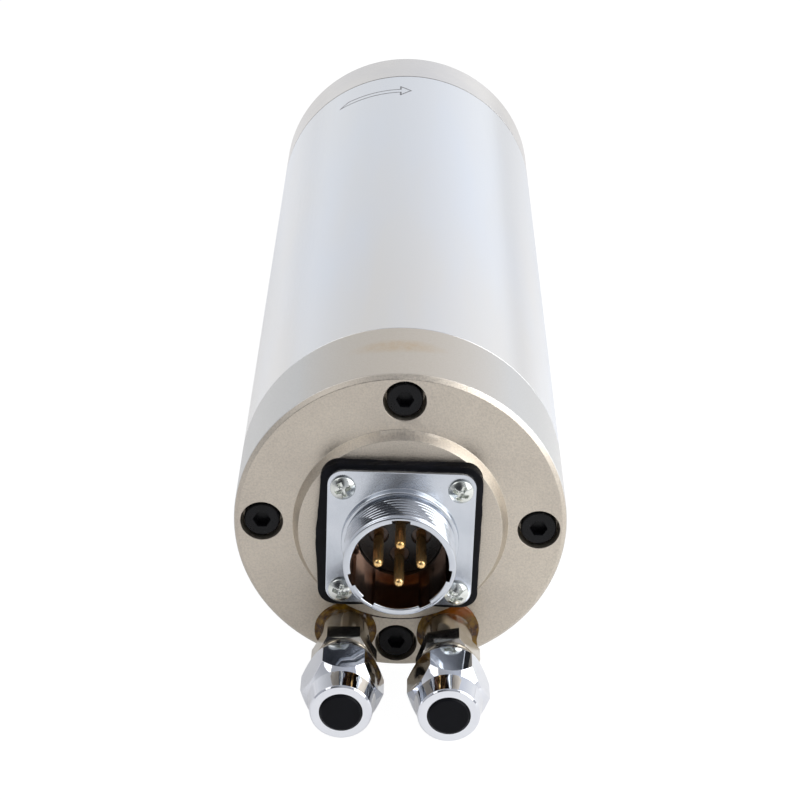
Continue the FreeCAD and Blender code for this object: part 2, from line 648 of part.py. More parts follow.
def front_cover_screws():
    """The four small screws of the front cover."""
    length = COVER_SCREW_SEAT - FRONT_FACE + COVER_SCREW_BITE
    return [
        socket_screw(x, z, COVER_SCREW_SEAT, 1, length, COVER_SCREW_R, COVER_SCREW_HEAD_R,
                     COVER_SCREW_HEAD_HEIGHT, COVER_SCREW_SOCKET_FLATS, COVER_SCREW_SOCKET_DEPTH)
        for x, z in around(SCREW_COUNT, COVER_SCREW_CIRCLE_R)
    ]


def bearing(sizes, start):
    """The inner ring, outer ring, cage and balls of one ball bearing that starts at a place."""
    end, middle = start + sizes["width"], start + sizes["width"] / 2
    pitch, ball = sizes["pitch"], sizes["ball"]
    groove = Part.makeTorus(pitch, ball + BALL_CLEARANCE, Vector(0, middle, 0), Vector(0, 1, 0))
    e = RACE_EDGE
    bore = sizes["bore"] + BEARING_FIT_CLEARANCE
    inner = turned([
        (bore, start + e), (bore + e, start), (pitch - RACE_LAND, start),
        (pitch - RACE_LAND, end), (bore + e, end), (bore, end - e),
    ])
    outer_r = sizes["outer"]
    outer = turned([
        (pitch + RACE_LAND, start), (outer_r - e, start), (outer_r, start + e),
        (outer_r, end - e), (outer_r - e, end), (pitch + RACE_LAND, end),
    ])
    half = ball + BALL_CLEARANCE + CAGE_RAIL
    cage = ring(pitch - CAGE_THICKNESS / 2, pitch + CAGE_THICKNESS / 2, middle - half, middle + half)
    places = around(sizes["balls"], pitch)
    pocket = Part.makeCylinder(ball + BALL_CLEARANCE, 2 * CAGE_THICKNESS,
                               Vector(pitch - CAGE_THICKNESS, middle, 0), Vector(1, 0, 0))
    pockets = turned_copies(pocket, sizes["balls"])
    balls = [Part.makeSphere(ball, Vector(x, middle, z)) for x, z in places]
    return {
        "inner_ring": [inner.cut(groove)],
        "outer_ring": [outer.cut(groove)],
        "cage": [cage.cut(Part.makeCompound(pockets))],
        "balls": balls,
    }


def preload_spring():
    """The disc spring that loads the rear outer rings."""
    outer = REAR_BEARING["outer"] - SPRING_CLEARANCE
    inner = REAR_BEARING["pitch"] + RACE_LAND + SPRING_CLEARANCE
    low, high = REAR_BEARING_END, REAR_LIP_START
    return turned([
        (inner, high - SPRING_THICKNESS), (outer, low), (outer, low + SPRING_THICKNESS), (inner, high),
    ])


def rear_lock_nut():
    """The slotted nut that clamps the rear inner rings on the shaft."""
    start, end = REAR_BEARING_START - LOCK_NUT_LENGTH, REAR_BEARING_START
    nut = ring(REAR_BEARING["bore"] + THREAD_CLEARANCE, LOCK_NUT_R, start, end)
    half, floor = LOCK_NUT_SLOT / 2, LOCK_NUT_R - LOCK_NUT_SLOT_DEPTH
    top = LOCK_NUT_R + PAST
    slot = prism([(floor, -half), (top, -half), (top, half), (floor, half)], start - PAST, end + PAST)
    return cut_all(nut, turned_copies(slot, LOCK_NUT_SLOTS))


def slot_shape(clearance):
    """The (x, z) corners of one stator slot on +Z, taken in by a clearance, without its mouth."""
    neck = STATOR_BORE_R + SLOT_LIP + clearance
    shoulder = neck + SLOT_LIP
    floor = STATOR_BORE_R + SLOT_LIP + SLOT_DEPTH - clearance
    mouth, narrow = SLOT_MOUTH / 2, SLOT_NECK / 2 - clearance
    wide = SLOT_WIDTH / 2 - clearance
    half = [(mouth, neck), (narrow, shoulder), (wide, floor - SLOT_CORNER), (wide - SLOT_CORNER, floor)]
    return half + [(-x, z) for x, z in reversed(half)]


def stator_core():
    """The laminated stator with open slots."""
    core = ring(STATOR_BORE_R, JACKET_BORE_R - BEARING_FIT_CLEARANCE, STACK_REAR, STACK_FRONT)
    start, end = STACK_REAR - PAST, STACK_FRONT + PAST
    half = SLOT_MOUTH / 2
    low, high = STATOR_BORE_R - PAST, STATOR_BORE_R + 2 * SLOT_LIP
    mouth = prism([(-half, low), (half, low), (half, high), (-half, high)], start, end)
    slot = prism(slot_shape(0.0), start, end).fuse(mouth)
    return cut_all(core, turned_copies(slot, SLOT_COUNT))


def end_turns(start, outward):
    """One round-nosed bundle of end turns, which starts a hair off the stack and grows outward."""
    r, reach = COIL_ROUND, COIL_OVERHANG
    inner, outer = COIL_INNER_R, COIL_OUTER_R
    near, far = start, start + outward * reach
    lean = r * (1 - math.sqrt(0.5))
    points = {
        "a": Vector(inner, near, 0), "b": Vector(outer, near, 0),
        "c": Vector(outer, far - outward * r, 0), "d": Vector(outer - lean, far - outward * lean, 0),
        "e": Vector(outer - r, far, 0), "f": Vector(inner + r, far, 0),
        "g": Vector(inner + lean, far - outward * lean, 0), "h": Vector(inner, far - outward * r, 0),
    }
    edges = [
        Part.LineSegment(points["a"], points["b"]).toShape(),
        Part.LineSegment(points["b"], points["c"]).toShape(),
        Part.Arc(points["c"], points["d"], points["e"]).toShape(),
        Part.LineSegment(points["e"], points["f"]).toShape(),
        Part.Arc(points["f"], points["g"], points["h"]).toShape(),
        Part.LineSegment(points["h"], points["a"]).toShape(),
    ]
    return Part.Face(Part.Wire(edges)).revolve(Vector(0, 0, 0), Vector(0, 1, 0), 360)


def stator_windings():
    """The copper: one bar of wire in each slot, joined by the end turns."""
    low, high = STACK_REAR - COIL_CLEARANCE, STACK_FRONT + COIL_CLEARANCE
    bar = prism(slot_shape(COIL_CLEARANCE), low - PAST, high + PAST)
    ends = [end_turns(low, -1), end_turns(high, 1)]
    return ends[0].fuse([ends[1]] + turned_copies(bar, SLOT_COUNT)).removeSplitter()


def rounded_path(points, radius):
    """A wire of straight runs joined by tangent arcs of one radius."""
    edges, last = [], points[0]
    for before, corner, after in zip(points, points[1:], points[2:]):
        back, on = (before - corner).normalize(), (after - corner).normalize()
        half = back.getAngle(on) / 2
        reach = radius / math.tan(half)
        first, second = corner + back * reach, corner + on * reach
        bisector = (back + on).normalize()
        middle = corner + bisector * (radius / math.sin(half) - radius)
        edges.append(Part.LineSegment(last, first).toShape())
        edges.append(Part.Arc(first, middle, second).toShape())
        last = second
    edges.append(Part.LineSegment(last, points[-1]).toShape())
    return Part.Wire(edges)


def lead(points):
    """One round insulated lead along a path of straight runs and arcs."""
    path = rounded_path(points, LEAD_BEND_R)
    section = Part.Wire(Part.makeCircle(LEAD_R - LEAD_CUP_CLEARANCE, points[0], Vector(0, -1, 0)))
    return path.makePipeShell([section], True, False)


def phase_leads():
    """The three leads from the rear end turns, through the bearing housing, to the solder cups."""
    leads = []
    coil_end = STACK_REAR - COIL_CLEARANCE - COIL_OVERHANG
    pins = around(PIN_COUNT, PIN_CIRCLE_R)
    for angle, (pin_x, pin_z) in zip(LEAD_ANGLES, pins):
        x, z = around(1, LEAD_CIRCLE_R, angle)[0]
        leads.append(lead([
            Vector(x, coil_end - LEAD_CUP_CLEARANCE, z), Vector(x, LEAD_LANE, z),
            Vector(pin_x, LEAD_LANE, pin_z), Vector(pin_x, CUP_FLOOR + LEAD_CUP_CLEARANCE, pin_z),
        ]))
    return leads


def earth_lead():
    """The lead from the fourth pin to the ring terminal on the rear bearing housing."""
    pin_x, pin_z = around(PIN_COUNT, PIN_CIRCLE_R)[-1]
    tube_floor = REAR_SPIGOT_END - TERMINAL_THICKNESS
    return lead([
        Vector(TERMINAL_REACH, tube_floor - LEAD_CUP_CLEARANCE, -EARTH_CIRCLE_R),
        Vector(TERMINAL_REACH, LEAD_LANE, -EARTH_CIRCLE_R), Vector(pin_x, LEAD_LANE, pin_z),
        Vector(pin_x, CUP_FLOOR + LEAD_CUP_CLEARANCE, pin_z),
    ])


def earth_terminal():
    """The tinned ring terminal: ring, tongue and the tube that holds the earth lead."""
    low, high = REAR_SPIGOT_END - TERMINAL_THICKNESS, REAR_SPIGOT_END
    half, z = TERMINAL_WIDTH / 2, -EARTH_CIRCLE_R
    eye = rod(TERMINAL_R, low, high, 0, z)
    tongue = prism([(0, z - half), (TERMINAL_REACH, z - half), (TERMINAL_REACH, z + half),
                    (0, z + half)], low, high)
    tube = rod(TERMINAL_TUBE_R, low - TERMINAL_TUBE_LENGTH, high, TERMINAL_REACH, z)
    hole = rod(EARTH_SCREW_R + TERMINAL_HOLE_CLEARANCE, low - PAST, high + PAST, 0, z)
    hollow = rod(LEAD_R, low - TERMINAL_TUBE_LENGTH - PAST, low, TERMINAL_REACH, z)
    return eye.fuse([tongue, tube]).cut(Part.makeCompound([hole, hollow])).removeSplitter()


def earth_screw():
    """The screw that clamps the ring terminal to the rear bearing housing."""
    seat = REAR_SPIGOT_END - TERMINAL_THICKNESS
    return socket_screw(0, -EARTH_CIRCLE_R, seat, -1, TERMINAL_THICKNESS + EARTH_SCREW_BITE,
                        EARTH_SCREW_R, EARTH_SCREW_HEAD_R, EARTH_SCREW_HEAD_HEIGHT,
                        EARTH_SCREW_SOCKET_FLATS, EARTH_SCREW_SOCKET_DEPTH)


def rotor_core():
    """The laminated rotor with closed holes for the cage bars."""
    outer = STATOR_BORE_R - AIR_GAP
    core = ring(ROTOR_BORE_R + BEARING_FIT_CLEARANCE, outer, STACK_REAR, STACK_FRONT)
    start, end = STACK_REAR - PAST, STACK_FRONT + PAST
    places = around(CAGE_BAR_COUNT, outer - CAGE_BAR_DEPTH)
    return cut_all(core, [rod(CAGE_BAR_R + THREAD_CLEARANCE, start, end, x, z) for x, z in places])


def rotor_cage():
    """The cast squirrel cage: bars through the rotor and a ring at each end."""
    outer = STATOR_BORE_R - AIR_GAP
    inner = ROTOR_BORE_R + CAGE_RING_GAP
    rear = ring(inner, outer, STACK_REAR - CAGE_RING_LENGTH, STACK_REAR)
    front = ring(inner, outer, STACK_FRONT, STACK_FRONT + CAGE_RING_LENGTH)
    places = around(CAGE_BAR_COUNT, outer - CAGE_BAR_DEPTH)
    bars = [rod(CAGE_BAR_R, STACK_REAR - PAST, STACK_FRONT + PAST, x, z) for x, z in places]
    return rear.fuse([front] + bars).removeSplitter()


def taper_r(y, clearance=0.0):
    """The radius of the collet's long taper at a place along the axis."""
    slope = math.tan(math.radians(COLLET_TAPER_DEG))
    return COLLET_MAX_R + clearance - (COLLET_LARGE_END - y) * slope


def spindle_shaft():
    """The shaft: bearing seats, shoulders, rotor seat, wrench flats, thread and taper socket."""
    rear_end = REAR_BEARING_START - LOCK_NUT_LENGTH - SHAFT_REAR_END
    seat, nose_r = REAR_BEARING["bore"], FRONT_BEARING["bore"]
    thread_start = NOSE_FACE - NOSE_THREAD_LENGTH
    shoulder_start = FRONT_BEARING_START - FRONT_SHOULDER_LENGTH
    step = REAR_HUB_END + PAST
    chamfer, relief = SHAFT_CHAMFER, NOSE_RELIEF_DEPTH
    socket_end = COLLET_BACK - PAST
    bore_end = NOSE_FACE - SHANK_BORE_DEPTH
    point = SHANK_BORE_R / math.tan(math.radians(DRILL_POINT_DEG / 2))
    profile = [
        (0, rear_end), (seat - chamfer, rear_end), (seat, rear_end + chamfer), (seat, REAR_BEARING_END),
        (REAR_SHOULDER_R, REAR_BEARING_END), (REAR_SHOULDER_R, step),
        (ROTOR_BORE_R, step), (ROTOR_BORE_R, shoulder_start),
        (FRONT_SHOULDER_R, shoulder_start), (FRONT_SHOULDER_R, FRONT_BEARING_START),
        (nose_r, FRONT_BEARING_START), (nose_r, thread_start - NOSE_RELIEF_LENGTH),
        (NOSE_THREAD_R - relief, thread_start - NOSE_RELIEF_LENGTH + relief),
        (NOSE_THREAD_R - relief, thread_start), (NOSE_THREAD_R, thread_start + relief),
        (NOSE_THREAD_R, NOSE_FACE - FINE_CHAMFER), (NOSE_THREAD_R - FINE_CHAMFER, NOSE_FACE),
        (taper_r(NOSE_FACE, TAPER_CLEARANCE), NOSE_FACE),
        (taper_r(socket_end, TAPER_CLEARANCE), socket_end), (SHANK_BORE_R, socket_end),
        (SHANK_BORE_R, bore_end), (0, bore_end - point),
    ]
    shaft = turned(profile)
    half, far = WRENCH_FLATS / 2, nose_r + PAST
    start = FLINGER_FACE + WRENCH_FLAT_SETBACK
    end = start + WRENCH_FLAT_LENGTH
    flats = [
        prism([(side * half, -far), (side * far, -far), (side * far, far), (side * half, far)], start, end)
        for side in (-1, 1)
    ]
    return cut_all(shaft, flats)


def front_flinger():
    """The rotating dust cap: a hub in the cover's bore and a disc in front of it."""
    bore = FRONT_BEARING["bore"] + THREAD_CLEARANCE
    disc_end = FLINGER_DISC_START + FLINGER_DISC_LENGTH
    return turned([
        (bore, FRONT_BEARING_END), (FLINGER_HUB_R, FRONT_BEARING_END),
        (FLINGER_HUB_R, FLINGER_DISC_START), (FLINGER_DISC_R - FINE_CHAMFER, FLINGER_DISC_START),
        (FLINGER_DISC_R, FLINGER_DISC_START + FINE_CHAMFER), (FLINGER_DISC_R, disc_end),
        (FLINGER_CONE_R, FLINGER_FACE), (bore, FLINGER_FACE),
    ])


def collet():
    """The spring collet: long taper, drawing groove, short front cone and slits from both ends."""
    body = turned([
        (COLLET_BORE_R, COLLET_BACK), (taper_r(COLLET_BACK), COLLET_BACK),
        (COLLET_MAX_R, COLLET_LARGE_END), (COLLET_GROOVE_R, COLLET_LARGE_END),
        (COLLET_GROOVE_R, COLLET_GROOVE_END), (COLLET_RIM_R, COLLET_GROOVE_END),
        (COLLET_RIM_R, COLLET_CONE_START), (COLLET_NOSE_R, COLLET_CONE_END),
        (COLLET_NOSE_R, COLLET_FRONT), (COLLET_BORE_R, COLLET_FRONT),
    ])
    half, near, far = COLLET_SLIT / 2, COLLET_BORE_R - PAST, COLLET_MAX_R + PAST
    corners = [(near, -half), (far, -half), (far, half), (near, half)]
    from_front = prism(corners, COLLET_FRONT - COLLET_SLIT_LENGTH, COLLET_FRONT + PAST)
    from_back = prism(corners, COLLET_BACK - PAST, COLLET_BACK + COLLET_SLIT_LENGTH)
    step = 360 / COLLET_SLITS
    tools = turned_copies(from_front, COLLET_SLITS, step, 0.0)
    tools += turned_copies(from_back, COLLET_SLITS, step, step / 2)
    return cut_all(body, tools)


def collet_nut():
    """The clamping nut: hexagon, thread bore, lip in the collet's groove and front cone seat."""
    front = COLLET_FRONT - COLLET_NUT_SETBACK
    back = front - COLLET_NUT_LENGTH
    hex_end = back + COLLET_NUT_HEX_LENGTH
    e, clear, fine = COLLET_NUT_EDGE, COLLET_NUT_CLEARANCE, FINE_CHAMFER
    outside = turned([
        (0, back), (COLLET_NUT_R - e, back), (COLLET_NUT_R, back + e), (COLLET_NUT_R, hex_end - e),
        (COLLET_NUT_FRONT_R + e, hex_end), (COLLET_NUT_FRONT_R, front - fine),
        (COLLET_NUT_FRONT_R - fine, front), (0, front),
    ])
    outside = outside.common(hexagon(COLLET_NUT_FLATS, back - PAST, front + PAST))
    lip_start = COLLET_LARGE_END + (COLLET_GROOVE_LENGTH - COLLET_NUT_LIP_LENGTH) / 2
    lip_end = lip_start + COLLET_NUT_LIP_LENGTH
    thread = NOSE_THREAD_R + NUT_THREAD_CLEARANCE
    inside = turned([
        (0, back - PAST), (thread + fine, back - PAST), (thread + fine, back), (thread, back + fine),
        (thread, lip_start), (COLLET_GROOVE_R + clear, lip_start), (COLLET_GROOVE_R + clear, lip_end),
        (COLLET_RIM_R + clear, lip_end), (COLLET_RIM_R + clear, COLLET_CONE_START),
        (COLLET_NOSE_R + clear, COLLET_CONE_END), (COLLET_NOSE_R + clear, front + PAST),
        (0, front + PAST),
    ])
    return outside.cut(inside)


def connector_gasket():
    """The square rubber gasket between the boss and the connector flange."""
    plate = rounded_plate(GASKET_SIDE, GASKET_CORNER_R, GASKET_FACE, BOSS_FACE)
    hole = FLANGE_SCREW_R + FLANGE_SCREW_HOLE_CLEARANCE
    start, end = GASKET_FACE - PAST, BOSS_FACE + PAST
    tools = [rod(PANEL_HOLE_R, start, end)]
    tools += [rod(hole, start, end, x, z) for x, z in flange_screw_places()]
    return cut_all(plate, tools)


def connector_shell():
    """The cast connector shell: flange, collar, threaded barrel with keyways, and back tube."""
    plate = rounded_plate(FLANGE_SIDE, FLANGE_CORNER_R, FLANGE_FACE, GASKET_FACE)
    collar_end = FLANGE_FACE - BARREL_COLLAR_LENGTH
    relief_end = collar_end - BARREL_RELIEF_LENGTH
    back_r = PANEL_HOLE_R - PANEL_CLEARANCE
    c, fine = BARREL_RIM_CHAMFER, FINE_CHAMFER
    barrel = turned([
        (0, BARREL_FACE), (BARREL_R - c, BARREL_FACE), (BARREL_R, BARREL_FACE + c),
        (BARREL_R, relief_end - fine), (BARREL_RELIEF_R, relief_end), (BARREL_RELIEF_R, collar_end),
        (BARREL_COLLAR_R - fine, collar_end), (BARREL_COLLAR_R, collar_end + fine),
        (BARREL_COLLAR_R, FLANGE_FACE), (back_r, FLANGE_FACE), (back_r, CONNECTOR_BACK),
        (0, CONNECTOR_BACK),
    ])
    floor = INSULATOR_FACE - SOCKET_SHELF
    before = BARREL_FACE - PAST
    tools = [turned([
        (0, before), (SOCKET_R + SOCKET_EDGE, before), (SOCKET_R + SOCKET_EDGE, BARREL_FACE),
        (SOCKET_R, BARREL_FACE + SOCKET_EDGE), (SOCKET_R, floor), (SOCKET_FLOOR_R, floor + SOCKET_STEP),
        (SOCKET_FLOOR_R, CONNECTOR_BACK + PAST), (0, CONNECTOR_BACK + PAST),
    ])]
    low, top = SOCKET_FLOOR_R - PAST, SOCKET_R + KEYWAY_DEPTH
    for angle, width in KEYWAYS:
        half = width / 2
        keyway = prism([(low, -half), (top, -half), (top, half), (low, half)], before, floor)
        tools += turned_copies(keyway, 1, 0.0, angle)
    hole = FLANGE_SCREW_R + FLANGE_SCREW_HOLE_CLEARANCE
    start, end = FLANGE_FACE - PAST, GASKET_FACE + PAST
    tools += [rod(hole, start, end, x, z) for x, z in flange_screw_places()]
    return cut_all(plate.fuse(barrel), tools)


def connector_insulator():
    """The black insert that holds the pins, with a sunk ring round each pin."""
    insert = rod(SOCKET_FLOOR_R - SLIP_CLEARANCE, INSULATOR_FACE, CONNECTOR_BACK)
    tools = []
    for x, z in around(PIN_COUNT, PIN_CIRCLE_R):
        tools.append(rod(PIN_R + THREAD_CLEARANCE, INSULATOR_FACE - PAST, CONNECTOR_BACK + PAST, x, z))
        recess_end = INSULATOR_FACE + INSULATOR_RECESS_DEPTH
        tools.append(rod(INSULATOR_RECESS_R, INSULATOR_FACE - PAST, recess_end, x, z))
    return cut_all(insert, tools)


def connector_pin(x, z):
    """One round-tipped contact pin with a solder cup at its back."""
    shank = rod(PIN_R, PIN_TIP + PIN_R, CONNECTOR_BACK + PAST, x, z)
    tip = Part.makeSphere(PIN_R, Vector(x, PIN_TIP + PIN_R, z))
    cup = rod(CUP_R, CONNECTOR_BACK, CUP_END, x, z)
    hollow = rod(LEAD_R, CUP_FLOOR, CUP_END + PAST, x, z)
    return shank.fuse([tip, cup]).cut(hollow).removeSplitter()


def connector_screw(x, z, turn):
    """One cross-recess pan head screw of the connector flange."""
    tip = BOSS_FACE + FLANGE_SCREW_BITE
    r = FLANGE_SCREW_HEAD_R
    band, top = FLANGE_FACE - FLANGE_SCREW_HEAD_BAND, FLANGE_FACE - FLANGE_SCREW_HEAD_HEIGHT
    start, end = Vector(r, band, 0), Vector(0, top, 0)
    rise = band - top
    dome_r = (r * r + rise * rise) / (2 * rise)
    centre = top + dome_r
    lean = math.asin(r / dome_r) / 2
    middle = Vector(dome_r * math.sin(lean), centre - dome_r * math.cos(lean), 0)
    edges = [
        Part.Arc(start, middle, end).toShape(),
        Part.LineSegment(end, Vector(0, tip, 0)).toShape(),
        Part.LineSegment(Vector(0, tip, 0), Vector(FLANGE_SCREW_R, tip, 0)).toShape(),
        Part.LineSegment(Vector(FLANGE_SCREW_R, tip, 0), Vector(FLANGE_SCREW_R, FLANGE_FACE, 0)).toShape(),
        Part.LineSegment(Vector(FLANGE_SCREW_R, FLANGE_FACE, 0), Vector(r, FLANGE_FACE, 0)).toShape(),
        Part.LineSegment(Vector(r, FLANGE_FACE, 0), start).toShape(),
    ]
    screw = Part.Face(Part.Wire(edges)).revolve(Vector(0, 0, 0), Vector(0, 1, 0), 360)
    half, width = CROSS_RECESS_SPAN / 2, CROSS_RECESS_WIDTH / 2
    before, floor = top - PAST, top + CROSS_RECESS_DEPTH
    bars = [
        prism([(-half, -width), (half, -width), (half, width), (-half, width)], before, floor),
        prism([(-width, -half), (width, -half), (width, half), (-width, half)], before, floor),
    ]
    screw = cut_all(screw, bars)
    screw.rotate(Vector(0, 0, 0), Vector(0, 1, 0), turn)
    screw.translate(Vector(x, 0, z))
    return screw


def fitting_body(x, turn):
    """A water fitting's body: screwed end, neck, hexagon, male thread and hose socket."""
    r, edge = FITTING_MALE_R, FINE_CHAMFER
    screwed_end = REAR_FACE + FITTING_THREAD_DEPTH
    outside = turned([
        (0, screwed_end), (FITTING_THREAD_R, screwed_end), (FITTING_THREAD_R, REAR_FACE),
        (FITTING_NECK_R, REAR_FACE), (FITTING_NECK_R, FITTING_HEX_START), (r, FITTING_HEX_START),
        (r, FITTING_MOUTH + edge), (r - edge, FITTING_MOUTH), (0, FITTING_MOUTH),
    ], x, FITTING_Z)
    flat = FITTING_HEX_FLATS / 2
    corner = FITTING_HEX_FLATS / math.sqrt(3)
    cut = (corner - flat) * math.tan(math.radians(NUT_CHAMFER_DEG))
    blank = turned([
        (0, FITTING_HEX_START), (corner, FITTING_HEX_START), (corner, FITTING_HEX_END + cut),
        (flat, FITTING_HEX_END), (0, FITTING_HEX_END),
    ], x, FITTING_Z)
    low, high = FITTING_HEX_END - PAST, FITTING_HEX_START + PAST
    hexed = blank.common(hexagon(FITTING_HEX_FLATS, low, high, turn, x, FITTING_Z))
    socket_r = HOSE_R + HOSE_SOCKET_CLEARANCE
    socket_end = FITTING_MOUTH + HOSE_SOCKET_DEPTH
    mouth_r = socket_r + FERRULE_CONE_LENGTH * FERRULE_SLOPE
    inside = turned([
        (0, FITTING_MOUTH - PAST), (mouth_r, FITTING_MOUTH - PAST), (mouth_r, FITTING_MOUTH),
        (socket_r, FITTING_MOUTH + FERRULE_CONE_LENGTH), (socket_r, socket_end), (PORT_R, socket_end),
        (PORT_R, screwed_end + PAST), (0, screwed_end + PAST),
    ], x, FITTING_Z)
    return outside.fuse(hexed).removeSplitter().cut(inside)


def ferrule(x):
    """The clamping ring between the fitting's mouth and the nut's inner cone."""
    return turned([
        (HOSE_R, FERRULE_BACK), (HOSE_R + FERRULE_TIP, FERRULE_BACK),
        (FERRULE_BAND_R, FERRULE_BAND_START), (FERRULE_BAND_R, FERRULE_BAND_END),
        (HOSE_R + FERRULE_EDGE, FERRULE_FRONT), (HOSE_R, FERRULE_FRONT),
    ], x, FITTING_Z)


def fitting_nut(x, turn):
    """The chromed hose nut: collar, round-cut hexagon, cone, and an inner cone on the ferrule."""
    corner = NUT_FLATS / math.sqrt(3)
    slope = math.tan(math.radians(NUT_CHAMFER_DEG))
    edge = FINE_CHAMFER
    blank = turned([
        (0, NUT_BACK), (NUT_COLLAR_R - edge, NUT_BACK), (NUT_COLLAR_R, NUT_BACK - edge),
        (NUT_COLLAR_R, NUT_HEX_START), (corner, NUT_HEX_START - (corner - NUT_COLLAR_R) / slope),
        (corner, NUT_HEX_END + (corner - NUT_CONE_BACK_R) / slope), (NUT_CONE_BACK_R, NUT_HEX_END),
        (NUT_CONE_FRONT_R, NUT_FACE + edge), (NUT_CONE_FRONT_R - edge, NUT_FACE), (0, NUT_FACE),
    ], x, FITTING_Z)
    blank = blank.common(hexagon(NUT_FLATS, NUT_FACE - PAST, NUT_BACK + PAST, turn, x, FITTING_Z))
    cone_start = FERRULE_BAND_END - FERRULE_CLEARANCE
    cone_end = cone_start - FERRULE_NOSE_LENGTH - FERRULE_CLEARANCE
    thread = FITTING_MALE_R + NUT_THREAD_CLEARANCE
    inside = turned([
        (0, NUT_BACK + PAST), (thread + edge, NUT_BACK + PAST), (thread + edge, NUT_BACK),
        (thread, NUT_BACK - edge), (thread, cone_start + edge),
        (FERRULE_BAND_R + FERRULE_CLEARANCE, cone_start), (HOSE_R + FERRULE_EDGE, cone_end),
        (HOSE_R, cone_end), (HOSE_R, NUT_FACE - PAST), (0, NUT_FACE - PAST),
    ], x, FITTING_Z)
    return blank.cut(inside)


def fitting_plug(x):
    """The black stopper in the hose hole, which stands a little proud of the nut."""
    r = HOSE_R - PLUG_CLEARANCE
    front = NUT_FACE - PLUG_PROUD
    back = FITTING_MOUTH + HOSE_SOCKET_DEPTH - PLUG_CLEARANCE
    edge = PLUG_EDGE
    return turned([
        (0, back), (r - edge, back), (r, back - edge), (r, front + edge), (r - edge, front), (0, front),
    ], x, FITTING_Z)


def sealant_ring(x):
    """The bead of thread sealant squeezed out round a fitting's neck."""
    inner = FITTING_NECK_R + THREAD_CLEARANCE
    outer = inner + SEALANT_WIDTH
    points = [
        Vector(inner, REAR_FACE, 0), Vector(outer, REAR_FACE, 0),
        Vector(inner + SEALANT_WIDTH * SEALANT_HOLLOW, REAR_FACE - SEALANT_HEIGHT * SEALANT_HOLLOW, 0),
        Vector(inner + SEALANT_TIP, REAR_FACE - SEALANT_HEIGHT, 0),
        Vector(inner, REAR_FACE - SEALANT_HEIGHT, 0),
    ]
    edges = [
        Part.LineSegment(points[0], points[1]).toShape(),
        Part.Arc(points[1], points[2], points[3]).toShape(),
        Part.LineSegment(points[3], points[4]).toShape(),
        Part.LineSegment(points[4], points[0]).toShape(),
    ]
    bead = Part.Face(Part.Wire(edges)).revolve(Vector(0, 0, 0), Vector(0, 1, 0), 360)
    bead.translate(Vector(x, 0, FITTING_Z))
    return bead.cut(turned([
        (0, BOSS_FACE), (BOSS_TOP_R + THREAD_CLEARANCE, BOSS_FACE),
        (BOSS_BASE_R + THREAD_CLEARANCE, REAR_FACE), (0, REAR_FACE),
    ]))


def build():
    """Makes every piece and writes one file for each node."""
    os.makedirs("parts", exist_ok=True)
    save("outer_sleeve", outer_sleeve())
    save("cooling_jacket", cooling_jacket())
    save("sleeve_o_rings", *seals())
    save("rear_cover", rear_cover())
    save("rear_cover_screws", *rear_cover_screws())
    save("rear_bearing_housing", rear_bearing_housing())
    save("preload_spring", preload_spring())
    save("front_bearing_housing", front_bearing_housing())
    save("front_housing_screws", *front_housing_screws())
    save("front_bearing_cover", front_bearing_cover())
    save("front_cover_screws", *front_cover_screws())
    for end, sizes, start in (("rear", REAR_BEARING, REAR_BEARING_START),
                              ("front", FRONT_BEARING, FRONT_BEARING_START)):
        for number in (1, 2):
            pieces = bearing(sizes, start + (number - 1) * sizes["width"])
            for piece, solids in pieces.items():
                save(f"{end}_bearing_{number}_{piece}", *solids)
    save("stator_core", stator_core())
    save("stator_windings", stator_windings())
    save("phase_leads", *phase_leads())
    save("earth_lead", earth_lead())
    save("earth_terminal", earth_terminal())
    save("earth_screw", earth_screw())
    save("rotor_core", rotor_core())
    save("rotor_cage", rotor_cage())
    save("spindle_shaft", spindle_shaft())
    save("rear_lock_nut", rear_lock_nut())
    save("front_flinger", front_flinger())
    save("collet", collet())
    save("collet_nut", collet_nut())
    save("connector_gasket", connector_gasket())
    save("connector_shell", connector_shell())
    save("connector_insulator", connector_insulator())
    save("connector_pins", *[connector_pin(x, z) for x, z in around(PIN_COUNT, PIN_CIRCLE_R)])
    screws = zip(flange_screw_places(), FLANGE_SCREW_TURNS)
    save("connector_screws", *[connector_screw(x, z, turn) for (x, z), turn in screws])
    for side, x in FITTING_ENDS.items():
        save(f"{side}_fitting_body", fitting_body(x, FITTING_HEX_TURN[side]))
        save(f"{side}_ferrule", ferrule(x))
        save(f"{side}_nut", fitting_nut(x, FITTING_NUT_TURN[side]))
        save(f"{side}_plug", fitting_plug(x))
    save("thread_sealant", *[sealant_ring(x) for x in FITTING_ENDS.values()])


build()
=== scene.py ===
"""Finish and fine detail of a water-cooled motor spindle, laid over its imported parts.

Lengths are written in millimetres and become metres where a mesh is made. The spindle axis
is Y, the nose points to +Y and Z is up. An angle round the axis is 0 at +X and 90 at +Z.
"""

import json
import logging
import math
from collections.abc import Sequence
from dataclasses import dataclass, field
from enum import Enum

import bmesh
import bpy
import numpy as np
from mathutils import Matrix, Vector


